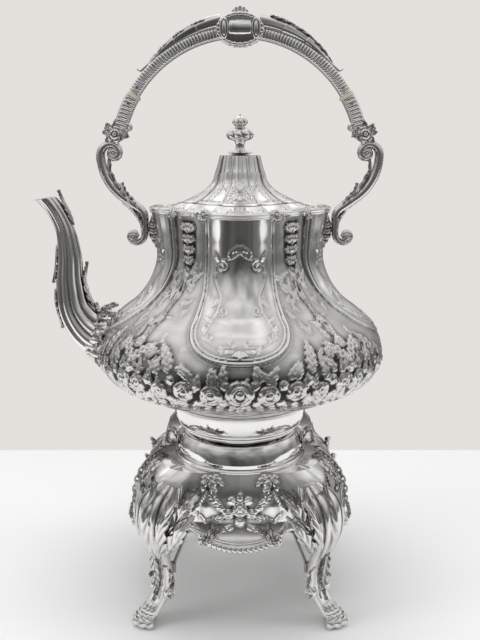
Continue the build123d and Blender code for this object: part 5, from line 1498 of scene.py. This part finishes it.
@dataclass
class Stand:
    """Raised stand with chased walls, plain collar and gadrooned aprons."""

    side: float = 76.5
    front: float = 52.0
    flare: float = 6.0
    apron_z: float = 62.0
    shoulder_h: float = 48.0
    collar_r: float = 47.0
    collar_h: float = 12.5
    collar_rim: float = 5.2
    bore_r: float = 28.0
    shaft_r: float = 40.0
    wall: float = 1.6
    arch_r: float = 12.5
    arch_x: float = 38.5

    def build(self, shop: Workshop) -> None:
        """Make the body, the collar and the borders."""
        self.make_body(shop)
        self.make_collar(shop)
        self.make_borders(shop)
        self.make_hangings(shop)

    def ring_at(self, share: float, grow: float = 0.0, quarter: int = 120) -> Array:
        """Closed level outline at a share of the wall's height, grown sideways: (x, y) points."""
        shares = (0.0, 0.09, 0.22, 0.54, 0.73, 0.88, 1.0)
        x = np.array([share])
        a = self.side * float(smooth(shares, (1.012, 1.004, 1.0, 0.977, 0.93, 0.865, 0.765), x)[0]) + grow
        steps = np.array((1, 0.42, 0, -1 / 6, -2.4 / 6, -4.4 / 6, -6.4 / 6)) * self.flare
        b = self.front + float(smooth(shares, steps, x)[0]) + grow
        q = cushion_outline(a, b, quarter)
        back = q[::-1] * (-1, 1)
        half = np.concatenate([q[:-1], back[:-1]])
        return np.concatenate([half, -half])

    def low_edge(self, x: Array, y: Array) -> Array:
        """Height of the wall's lower edge, which arches beside each leg."""
        lift = np.zeros_like(x)
        for v in (x, y):
            gap = self.arch_r**2 - (np.abs(v) - self.arch_x) ** 2
            lift = np.maximum(lift, np.sqrt(np.clip(gap, 0, None)) - 1)
        return self.apron_z + lift

    def make_body(self, shop: Workshop) -> None:
        """Raise the walls and chase them."""
        rows = 96
        base = self.ring_at(0.0)
        low = self.low_edge(base[:, 0], base[:, 1])
        shares = np.linspace(0, 1, rows)
        rings = np.stack([self.ring_at(s) for s in shares])
        top = self.apron_z + self.shoulder_h
        start = (low - self.apron_z) / self.shoulder_h
        points = np.zeros((rows, len(base), 3))
        for i, s in enumerate(shares):
            share = start + (1 - start) * s
            spot = share * (rows - 1)
            k = np.clip(spot.astype(int), 0, rows - 2)
            f = (spot - k)[:, None]
            cols = np.arange(len(base))
            points[i, :, :2] = rings[k, cols] * (1 - f) + rings[k + 1, cols] * f
            points[i, :, 2] = self.apron_z + share * self.shoulder_h
        lift = self.chase(points)
        out = points + normals(points, True) * (-lift)[..., None] * self.outward(points)
        theta = np.arctan2(base[:, 1], base[:, 0])
        hole = np.stack([self.shaft_r * np.cos(theta), self.shaft_r * np.sin(theta), np.full(len(theta), top)], 1)[None]
        inside = points[::-6] + normals(points, True)[::-6] * self.wall * self.outward(points)
        inside[..., 2] = np.minimum(inside[..., 2], top - self.wall)
        every = np.concatenate([out, hole, hole - (0, 0, self.wall), inside])
        behind = 0.5 + np.zeros((1 + len(inside), len(theta)))
        recess = np.concatenate([hollows(lift, 3, 0.5), np.zeros((1, len(theta))), behind])
        shop.ring("chased_stand_body", every, "chased_silver", Body.STAND, recess=recess, replaces=["stand_body"])

    def outward(self, points: Array) -> float:
        """Minus one where the grid's normals face out, else one."""
        n = normals(points, True)[10, 0]
        return -1.0 if n[0] * points[10, 0, 0] > 0 else 1.0

    def chase(self, points: Array) -> Array:
        """Heights of the chasing on the walls."""
        x, y, z = points[..., 0], points[..., 1], points[..., 2]
        lift = np.zeros(x.shape)
        for across, depth, reach in ((x, y, 60.0), (y, x, 44.0)):
            face = np.abs(depth) > np.abs(across) * (0.75 if reach > 50 else 1.2)
            for side in (-1, 1):
                here = face & (depth * side > 0)
                u = np.where(here, across, 999.0)
                v = z - self.apron_z
                for shape, cu, cv, turn in self.wall_ornament():
                    c, s = math.cos(math.radians(turn)), math.sin(math.radians(turn))
                    dx, dy = u - cu, v - cv
                    lift = np.maximum(lift, np.where(here, shape(dx * c + dy * s, -dx * s + dy * c), 0))
        edge = np.clip(1 - np.arange(len(z)) / 3.0, 0, 1)[:, None]
        return lift + 0.8 * edge

    def wall_ornament(self) -> list:
        """Shapes of one wall: a flower cluster, hanging leaves and festoons, as (shape, across, up, turn)."""
        items = [(rosette(5.4, 6, 2.2), 0, 23, 0), (rosette(3.6, 5, 1.6), 0, 14.5, 0),
                 (leaf(9, 2.6, 1.5, 3), 0, 27, 90)]
        for side in (-1, 1):
            turn = 0 if side > 0 else 180
            items += [
                (rosette(4.2, 5, 1.8), side * 8.2, 20, 20),
                (rosette(3.2, 5, 1.5), side * 5.6, 29.5, 20),
                (rosette(3.0, 5, 1.4), side * 13.6, 24, 20),
                (leaf(12, 3.0, 1.4, 4, 0.25 * side), side * 11, 18, turn - side * 24),
                (leaf(13, 3.0, 1.4, 4, 0.25 * side), side * 12, 26, turn + side * 22),
                (leaf(9, 2.4, 1.4, 3, 0.2 * side), side * 5, 12, turn - side * 40),
                (leaf(17, 3.4, 1.7, 4, 0.1 * side), side * 21, 47, -90 - side * 16),
                (leaf(12, 2.6, 1.5, 3), side * 23.5, 47, -90 + side * 14),
                (leaf(10, 2.2, 1.4, 3), side * 18, 47, -90 - side * 42),
                (stroke(curve([(side * 23, 36), (side * 28, 28), (side * 29, 16)], 9), 0.5, 0.7), 0, 0, 0),
                (leaf(8, 1.8, 0.9, 3), side * 28, 27, -90 + side * 40),
                (leaf(8, 1.8, 0.9, 3), side * 28.5, 20, -90 - side * 40),
            ]
        return items

    def make_collar(self, shop: Workshop) -> None:
        """Plain convex collar with a rolled rim round the dished seat."""
        low = self.apron_z + self.shoulder_h
        seat, rim, out = low + self.collar_h, low + self.collar_h + self.collar_rim, self.collar_r
        outer = curve([(out + 0.9, low + 0.1), (out + 1.0, low + 1.1), (out + 0.1, low + 1.9), (out - 0.1, low + 6),
                       (out - 1.6, low + 13), (out - 3.5, rim - 1.0), (out - 4.3, rim + 0.05), (out - 5.2, rim + 0.2),
                       (out - 6.1, rim - 0.5), (out - 9.5, seat + 1.6), (out - 13, seat), (self.bore_r + 0.5, seat),
                       (self.bore_r, seat - 0.6)], 110)
        under = curve([(self.bore_r, seat - 1.6), (out - 5, seat - 1.6), (out - 3, low + 7), (out - 3.2, low)], 26)
        shape = np.concatenate([outer, under])
        shop.ring("plain_collar", spin(shape[:, :1], shape[:, 1:], turns(320)[None]), "polished_silver", Body.STAND,
                  replaces=["stand_collar"], sharp=60)

    def make_borders(self, shop: Workshop) -> None:
        """Gadrooned and beaded lips under the aprons."""
        parts = []
        half = self.arch_x - self.arch_r - 2.8
        ring = self.ring_at(0.02, 0.6, 400)
        for depth, across in ((1, 0), (0, 1)):
            for side in (-1, 1):
                pick = ring[(np.abs(ring[:, across]) < half) & (ring[:, depth] * side > 0)]
                pick = pick[np.argsort(pick[:, across])]
                t = pick[:, across] / half
                edge = self.apron_z + 1.8 - 6.0 * (1 - t**2)
                top = edge + 5.4
                for level, size, count in ((edge, 2.9, 13), (top, 1.1, 40)):
                    line = curve(np.stack([pick[:, 0], pick[:, 1], level], 1)[::4], 190)
                    parts.append(self.gadroon(line, size, count))
                middle = np.stack([pick[:, 0], pick[:, 1], (edge + top) / 2], 1)[::2]
                high = ((top - edge) / 2)[::2, None]
                away = np.array((1 - depth, depth, 0)) * side
                g = turns(20)[None]
                bulge = 1.3 * np.abs(np.cos(g)) ** 0.5 * np.sign(np.cos(g)) - 0.6
                rise = UP * (high * np.sin(g))[..., None]
                parts.append((middle[:, None] + away * bulge[..., None] + rise, 0.25))
        shop.union("gadrooned_borders", parts, "cast_silver", Body.STAND, replaces=["apron_borders"])
        self.make_arches(shop)

    def make_arches(self, shop: Workshop) -> None:
        """Rolled edges round the arches beside the legs, curled where they meet the aprons."""
        parts = []
        ring = self.ring_at(0.12, 2.0, 400)
        a = np.radians(np.linspace(-35, 172, 60))
        curl = coil(-self.arch_r - 4.0, 2.0, 1.2, 4.4, 0, -400, 40)[::-1]
        bend = np.concatenate([np.stack([self.arch_r * np.cos(a), self.arch_r * np.sin(a) - 0.6], 1), curl])
        size = np.concatenate([np.full(60, 2.2), np.linspace(2.2, 0.9, 40)])
        thick = np.interp(np.linspace(0, 99, 130), np.arange(100), size)
        for along_x, reach in ((True, self.front), (False, self.side)):
            for front in (-1, 1):
                for side in (-1, 1):
                    u = side * (self.arch_x + bend[:, 0])
                    across, away = (0, 1) if along_x else (1, 0)
                    face = ring[ring[:, away] * front > 0.4 * reach]
                    face = face[np.argsort(face[:, across])]
                    depth = np.interp(u, face[:, across], face[:, away])
                    z = self.apron_z + bend[:, 1]
                    line = np.stack([u, depth, z] if along_x else [depth, u, z], 1)
                    out = np.array((0, front, 0) if along_x else (front, 0, 0), float)
                    parts.append(tube(curve(line, 130), out, 1.9, thick, 14))
        shop.union("rolled_arches", parts, "polished_silver", Body.STAND)

    def gadroon(self, line: Array, size: float, count: int) -> tuple:
        """A round moulding along a line, cut into slanting lobes."""
        along = directions(line)
        up = UP[None] - along * along[:, 2:]
        up /= np.linalg.norm(up, axis=1, keepdims=True)
        out = np.cross(up, along)
        a = turns(16)[None]
        s = np.linspace(0, 1, len(line))[:, None]
        wave = np.abs(np.sin(math.pi * count * s + 0.9 * np.sin(a))) ** 0.6
        r = size * (0.62 + 0.42 * wave)
        points = line[:, None] + up[:, None] * (r * np.sin(a))[..., None]
        points = points + out[:, None] * (0.7 * r * np.cos(a))[..., None]
        return points, np.clip(1 - 1.6 * wave, 0, 1)

    def make_hangings(self, shop: Workshop) -> None:
        """Leaf scrolls and shells in the round at the ends of each apron."""
        sheets, parts = [], []
        for side in (-1, 1):
            for front in (-1, 1):
                for along_x in (True, False):
                    at = 24.0 * side
                    depth = (self.front + 5.2 if along_x else self.side + 1.2) * front
                    flat = np.array((*((at, depth) if along_x else (depth, at)), self.apron_z + 3))
                    out = np.array((0, front, 0)) if along_x else np.array((front, 0, 0))
                    parts.append(flower_disc(flat, out + (0, 0, 0.1), 5.2, 7, 2.2, 3.0))
                    across = np.array((side, 0, 0)) if along_x else np.array((0, side, 0))
                    for rise, run in ((11, -5), (7, -11)):
                        spine = curve([flat + out * 0.5, flat + out * 2.0 + across * run * 0.5 + (0, 0, rise * 0.6),
                                       flat + out * 1.2 + across * run + (0, 0, rise)], 20)
                        level = np.cross(out, across * 0.4 + (0, 0, 1))
                        sheets.append(leaf_sheet(spine, level, 3.2, 4, 0.7, 13, 0.9))
        shop.union("apron_flowers", parts, "cast_silver", Body.STAND)
        shop.slab("apron_leaves", sheets, "cast_silver", Body.STAND)


@dataclass
class Legs:
    """Four scroll legs with acanthus knees and shell feet."""

    knee: float = 64.0
    ankle_in: float = 47.4
    ankle_out: float = 60.3
    ankle_z: float = 36.0
    foot_x: float = 60.5
    foot_y: float = 52.0
    foot_turn: float = 27.0
    toes: int = 5
    toe_r: float = 3.9
    toe_l: float = 15.0
    fan: float = 88.0
    volute_z: float = 24.0

    def build(self, shop: Workshop, stand: Stand) -> None:
        """Make the four legs from the one at +X, -Y."""
        tubes, sheets = self.stem(), self.leaves(stand)
        feet = self.foot()
        for x, sx in (("right", 1), ("left", -1)):
            for y, sy in (("front", 1), ("back", -1)):
                flip = (sx, sy, 1)
                shop.union(f"scroll_leg_{y}_{x}", mirrored(tubes + feet, flip), "cast_silver", Body.STAND,
                           replaces=[f"leg_{y}_{x}"])
                shop.slab(f"acanthus_{y}_{x}", mirrored(sheets, flip), "cast_silver", Body.STAND)

    def stem(self) -> list:
        """Square stem with rolled edges, knee and volutes."""
        mid = (self.ankle_in + self.ankle_out) / 2
        line = curve([(50, -50, 103), (57.5, -56.5, 92), (60, -59, 80), (59.0, -58.0, 66), (55.5, -54.5, 50),
                      (mid, -mid, self.ankle_z), (mid + 1.2, -mid - 0.2, 27), (mid + 5.5, -mid - 0.5, 17),
                      (mid + 10.5, -mid - 2.0, 8.5)], 120)
        across = CROSSWISE
        s = np.linspace(0, 1, 120)
        wide = smooth((0, 0.12, 0.3, 0.5, 0.68, 0.8, 1), (7, 11.5, 11.5, 8.2, 6.6, 6.8, 6.0), s)
        deep = smooth((0, 0.12, 0.3, 0.5, 0.68, 0.8, 1), (4, 8.0, 8.0, 5.4, 4.4, 4.0, 3.0), s)

        def relief(share: Array, a: Array) -> Array:
            rolled = 1.2 * np.abs(np.cos(a)) ** 10
            flutes = 0.6 * np.cos(9 * a) * np.clip(1 - 3.2 * np.abs(share - 0.22), 0, 1)
            return rolled + flutes

        parts = [tube(line, across, wide, deep, 44, 3.0, relief)]
        for sign in (-1, 1):
            edge = line[58:] + across * sign * wide[58:, None] * 0.92
            parts.append(tube(edge, across, 1.5, 1.9, 12))
            start = line[96] + across * sign * (wide[96] + 0.4)
            out = DIAGONAL
            spiral = coil(0, 0, 5.4, 1.0, 100, -520, 60)
            eye = start + out * spiral[:, :1] + UP * spiral[:, 1:]
            parts.append(tube(eye - out * 1.5, across, 2.0, 1.15, 12))
            parts.append((ball(start - out * 1.5 + across * sign * 0.4, (1.7, 1.7, 1.7), 10, 16), 0.0))
        return parts

    def leaves(self, stand: Stand) -> list:
        """Acanthus leaves over the knee and along the shoulder."""
        sheets = []
        out = DIAGONAL
        across = CROSSWISE
        base = out * 79.0

        def add(spots: Points, width: float, lobes: float, high: float,
                side: Sequence = across) -> None:
            line = curve([base + out * o + across * c + UP * z for o, c, z in spots], 44)
            sheets.append(leaf_sheet(line, side, width, lobes, high, 21, 1.1, 0.5))

        add([(2.5, 0, 52), (9.5, 0, 66), (13.5, 0, 80), (11.0, 0, 93), (5.0, 0, 102), (3.5, 0, 109)], 8.5, 6, 1.5)
        for side in (-1, 1):
            tilt = across + out * 0.35 * side * -1
            add([(4, 5 * side, 56), (9, 9 * side, 70), (9, 13 * side, 84), (3.5, 17 * side, 96),
                 (1.5, 21 * side, 102)], 5.6, 5, 1.2, tilt)
            add([(2, 10 * side, 60), (3, 18 * side, 70), (0.5, 25 * side, 82), (-4, 31 * side, 92)], 5.2, 5, 1.1,
                across * 0.6 + out * -0.6 * side)
            add([(4, 8 * side, 66), (2.5, 17 * side, 78), (-2.0, 26 * side, 84), (-6.5, 35 * side, 80)], 4.4, 5, 1.0,
                UP)
            add([(-1, 15 * side, 82), (-4.5, 24 * side, 96), (-10, 29 * side, 104)], 4.6, 4, 1.0,
                across * 0.6 + out * -0.6 * side)
            add([(2, 3 * side, 50), (-2, 7 * side, 44), (-3, 9.5 * side, 36), (0, 12.5 * side, 32)], 2.6, 4, 0.7)
        add([(5.4, 0, 58), (4.2, 0, 50), (3.0, 0, 42), (2.3, 0, 33), (3.2, 0, 27), (6.4, 0, 21)], 4.6, 6, 0.9)
        return sheets

    def foot(self) -> list:
        """Shell foot: lobed toes that fan out over a ribbed instep, with a curled edge."""
        parts = []
        root = np.array((self.foot_x - 4.0, -self.foot_y - 0.5, self.volute_z - 3.0))
        for i in range(2 * self.toes - 1):
            k = i / 2
            big = i % 2 == 0
            angle = math.radians(-self.foot_turn + self.fan * (k / (self.toes - 1) - 0.5))
            span = self.toe_l * (1 - 0.10 * abs(k - (self.toes - 1) / 2)) * (1.0 if big else 0.80)
            size = self.toe_r * (1.0 if big else 0.55)
            tip = np.array((self.foot_x + span * math.cos(angle), -self.foot_y + span * math.sin(angle), size))
            away = np.array((math.cos(angle), math.sin(angle), 0))
            mid = root * 0.5 + tip * 0.5 + (0, 0, 1.6) + away * 0.5
            line = curve([root, mid, tip + (0, 0, 0.6) - away * 2.0, tip + away * (size - 1.2) + (0, 0, -0.6)], 60)
            s = np.linspace(0, 1, 60)
            r = size * smooth((0, 0.3, 0.62, 0.75, 0.9, 1), (0.42, 0.5, 0.72, 0.62, 1.0, 0.4), s)

            def relief(share: Array, g: Array) -> Array:
                return 0.32 * np.abs(np.sin(7 * math.pi * share)) * np.clip(share * 3, 0, 1) - 0.16

            parts.append(tube(line, np.cross(away, (0, 0, 1)), r, r * 0.95, 20, 2.0, relief))
        instep = ball((self.foot_x + 4.5, -self.foot_y - 3.0, 5.0), (5.6, 5.2, 4.8), 16, 28)
        instep[..., 2] = np.maximum(instep[..., 2], 0.8)
        parts.append((instep, 0.3))
        for points, _ in parts:
            points[..., 2] = np.maximum(points[..., 2], 0.0)
        return parts


# ---------------------------------------------------------------- burner, hinges and chains
@dataclass
class Fittings:
    """Burner, hinge parts, lock pins and chains that keep their frame shapes."""

    silver: Sequence[str] = ("lid_seat", "lid_knuckle", "hinge_leaf", "hinge_pin", "finial_nut", "stand_lug_right",
                             "stand_lug_left", "kettle_lug_right", "kettle_lug_left", "lock_pin_right",
                             "lock_pin_left", "handle_pins", "snuffer_cap")
    # The cradle rods and chains take the silver that is painted dark as painted shade and painted dark reflection
    dark: Sequence[str] = ("cradle_ring", "cradle_rods", "chain_right", "chain_left", "chain_eyes")
    brass: Sequence[str] = ("burner_collar", "snuffer_bracket")

    def build(self, shop: Workshop, frame: dict) -> None:
        """Dress the frame's own pieces and turn the lamp's font."""
        for names, finish in ((self.silver, "polished_silver"), (self.dark, "shade_painted_silver"), (self.brass, "worn_brass"),
                              (("wick",), "cotton_wick")):
            for name in names:
                node = frame["nodes"][name]
                node.data.materials.clear()
                node.data.materials.append(shop.materials[finish])
                for polygon in node.data.polygons:
                    polygon.material_index = 0
        self.make_font(shop)

    def make_font(self, shop: Workshop) -> None:
        """Squat turned font with a flanged rim and a domed top."""
        cradle, seat = 60.0, 62.9
        shape = curve([(0.4, cradle - 13), (13.3, cradle - 13), (21.8, cradle - 7.8), (24.2, cradle)], 30)
        flange = np.array([(24.2, seat), (27.6, seat), (27.8, seat + 0.6), (27.4, seat + 1.2), (24.4, seat + 1.3)])
        domed = curve([(24.2, seat + 1.4), (19.4, seat + 7.8), (12, seat + 11.4), (8.5, seat + 13),
                       (0.4, seat + 13)], 40)
        every = np.concatenate([shape, flange, domed])
        shop.grid("spirit_font", spin(every[:, :1], every[:, 1:], turns(120)[None]), "polished_silver", Body.BURNER,
                  replaces=["lamp_font"], sharp=35)


# ---------------------------------------------------------------- studio
@dataclass
class Studio:
    """Camera, soft lamps, pale floor and pale surroundings."""

    camera_at: tuple = (0.02075, -0.550, 0.336)
    tilt_deg: float = 13.0
    lens: float = 43.875
    floor_tone: float = 0.80
    backdrop: tuple = (0.775, 0.745, 0.72, 1)

    def make_camera(self) -> None:
        """Set the camera."""
        data = bpy.data.cameras.new("camera")
        data.lens = self.lens
        data.sensor_width = 36.0
        data.sensor_fit = "AUTO"
        camera = bpy.data.objects.new("camera", data)
        camera.location = self.camera_at
        camera.rotation_euler = (math.radians(90 - self.tilt_deg), 0, 0)
        bpy.context.scene.collection.objects.link(camera)
        bpy.context.scene.camera = camera

    def make_lamps(self) -> None:
        """Soft area lamps above, at the sides and behind the camera."""
        spots = (
            ("overhead", (0.0, -0.1, 1.25), (0, 0, 0), 0.9, 6.5),
            ("left_window", (-1.1, -0.45, 0.65), (0, math.radians(-72), math.radians(18)), 0.7, 4.0),
            ("right_window", (1.2, -0.1, 0.6), (0, math.radians(74), math.radians(-10)), 0.5, 2.4),
            ("front_fill", (0.35, -1.3, 0.95), (math.radians(56), 0, math.radians(14)), 0.6, 1.6),
        )
        for name, place, turn, size, power in spots:
            data = bpy.data.lights.new(name, "AREA")
            data.shape = "RECTANGLE"
            data.size = size
            data.size_y = 0.7 * size
            data.energy = power
            lamp = bpy.data.objects.new(name, data)
            lamp.visible_glossy = False
            lamp.location = place
            lamp.rotation_euler = turn
            bpy.context.scene.collection.objects.link(lamp)

    def make_floor(self) -> None:
        """Pale cloth-covered table."""
        mesh = bpy.data.meshes.new("table")
        wide, near, far = 1.2, -0.34, 0.263
        mesh.from_pydata([(-wide, near, 0), (wide, near, 0), (wide, far, 0), (-wide, far, 0)], [], [(0, 1, 2, 3)])
        floor = bpy.data.objects.new("table", mesh)
        floor.location.z = -0.0002
        bpy.context.scene.collection.objects.link(floor)
        mat = bpy.data.materials.new("table_cloth")
        mat.use_nodes = True
        tree = mat.node_tree
        shader = tree.nodes["Principled BSDF"]
        shader.inputs["Roughness"].default_value = 0.9
        weave = noise_node(tree, 900, 2, 0.6)
        ramp = tree.nodes.new("ShaderNodeMapRange")
        ramp.inputs["To Min"].default_value = self.floor_tone - 0.02
        ramp.inputs["To Max"].default_value = self.floor_tone + 0.02
        tree.links.new(weave.outputs["Fac"], ramp.inputs["Value"])
        tree.links.new(ramp.outputs["Result"], shader.inputs["Base Color"])
        mesh.materials.append(mat)

    def make_world(self) -> None:
        """Pale for the camera and a soft room for the metal: bright above, dimmer in front."""
        world = bpy.data.worlds.new("studio")
        world.use_nodes = True
        bpy.context.scene.world = world
        tree = world.node_tree
        back = tree.nodes["Background"]
        coords = tree.nodes.new("ShaderNodeTexCoord")
        split = tree.nodes.new("ShaderNodeSeparateXYZ")
        tree.links.new(coords.outputs["Generated"], split.inputs[0])
        ramp = tree.nodes.new("ShaderNodeValToRGB")
        stops = ((0.0, 0.12), (0.40, 0.20), (0.50, 0.26), (0.60, 0.40), (0.74, 0.72), (0.86, 0.95), (1.0, 0.80))
        for place, tone in stops[2:]:
            ramp.color_ramp.elements.new(place)
        for element, (place, tone) in zip(ramp.color_ramp.elements, stops):
            element.position = place
            element.color = (tone, tone, tone * 0.995, 1)
        half = math_node(tree, "MULTIPLY_ADD", split.outputs["Z"], 0.5)
        half.node.inputs[2].default_value = 0.5
        tree.links.new(half, ramp.inputs["Fac"])
        room = math_node(tree, "MULTIPLY_ADD", split.outputs["Y"], 0.45)
        room.node.inputs[2].default_value = 0.85
        room = math_node(tree, "MINIMUM", room, 1.05)
        room = math_node(tree, "MAXIMUM", room, 0.42)
        patches = tree.nodes.new("ShaderNodeTexNoise")
        patches.inputs["Scale"].default_value = 2.4
        patches.inputs["Detail"].default_value = 2.0
        tree.links.new(coords.outputs["Generated"], patches.inputs["Vector"])
        spread = tree.nodes.new("ShaderNodeMapRange")
        for socket, value in (("From Min", 0.35), ("From Max", 0.65), ("To Min", 0.60), ("To Max", 1.46)):
            spread.inputs[socket].default_value = value
        tree.links.new(patches.outputs["Fac"], spread.inputs["Value"])
        room = math_node(tree, "MULTIPLY", room, spread.outputs["Result"])
        lit = mix_node(tree, 1.0, ramp.outputs["Color"], room, "MULTIPLY")
        path = tree.nodes.new("ShaderNodeLightPath")
        seen = mix_node(tree, path.outputs["Is Camera Ray"], lit, self.backdrop)
        tree.links.new(seen, back.inputs["Color"])
        back.inputs["Strength"].default_value = 1.0

    def build(self) -> None:
        """Light the scene."""
        self.make_world()
        self.make_lamps()
        self.make_floor()
        bpy.context.scene.view_settings.view_transform = "Standard"


def main() -> None:
    """Build the scene in order."""
    logging.basicConfig(level=logging.INFO, format="%(message)s")
    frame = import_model()
    studio = Studio()
    studio.make_camera()
    groups = {"tarnish": tarnish_group(), "polish": polish_group(), "wear": wear_group()}
    shop = Workshop({f.name: f.build(groups) for f in FINISHES})
    KettleBody().build(shop)
    Lid().build(shop)
    Spout().build(shop)
    Handle().build(shop)
    stand = Stand()
    stand.build(shop)
    Legs().build(shop, stand)
    Fittings().build(shop, frame)
    studio.build()


if __name__ == "__main__":
    main()
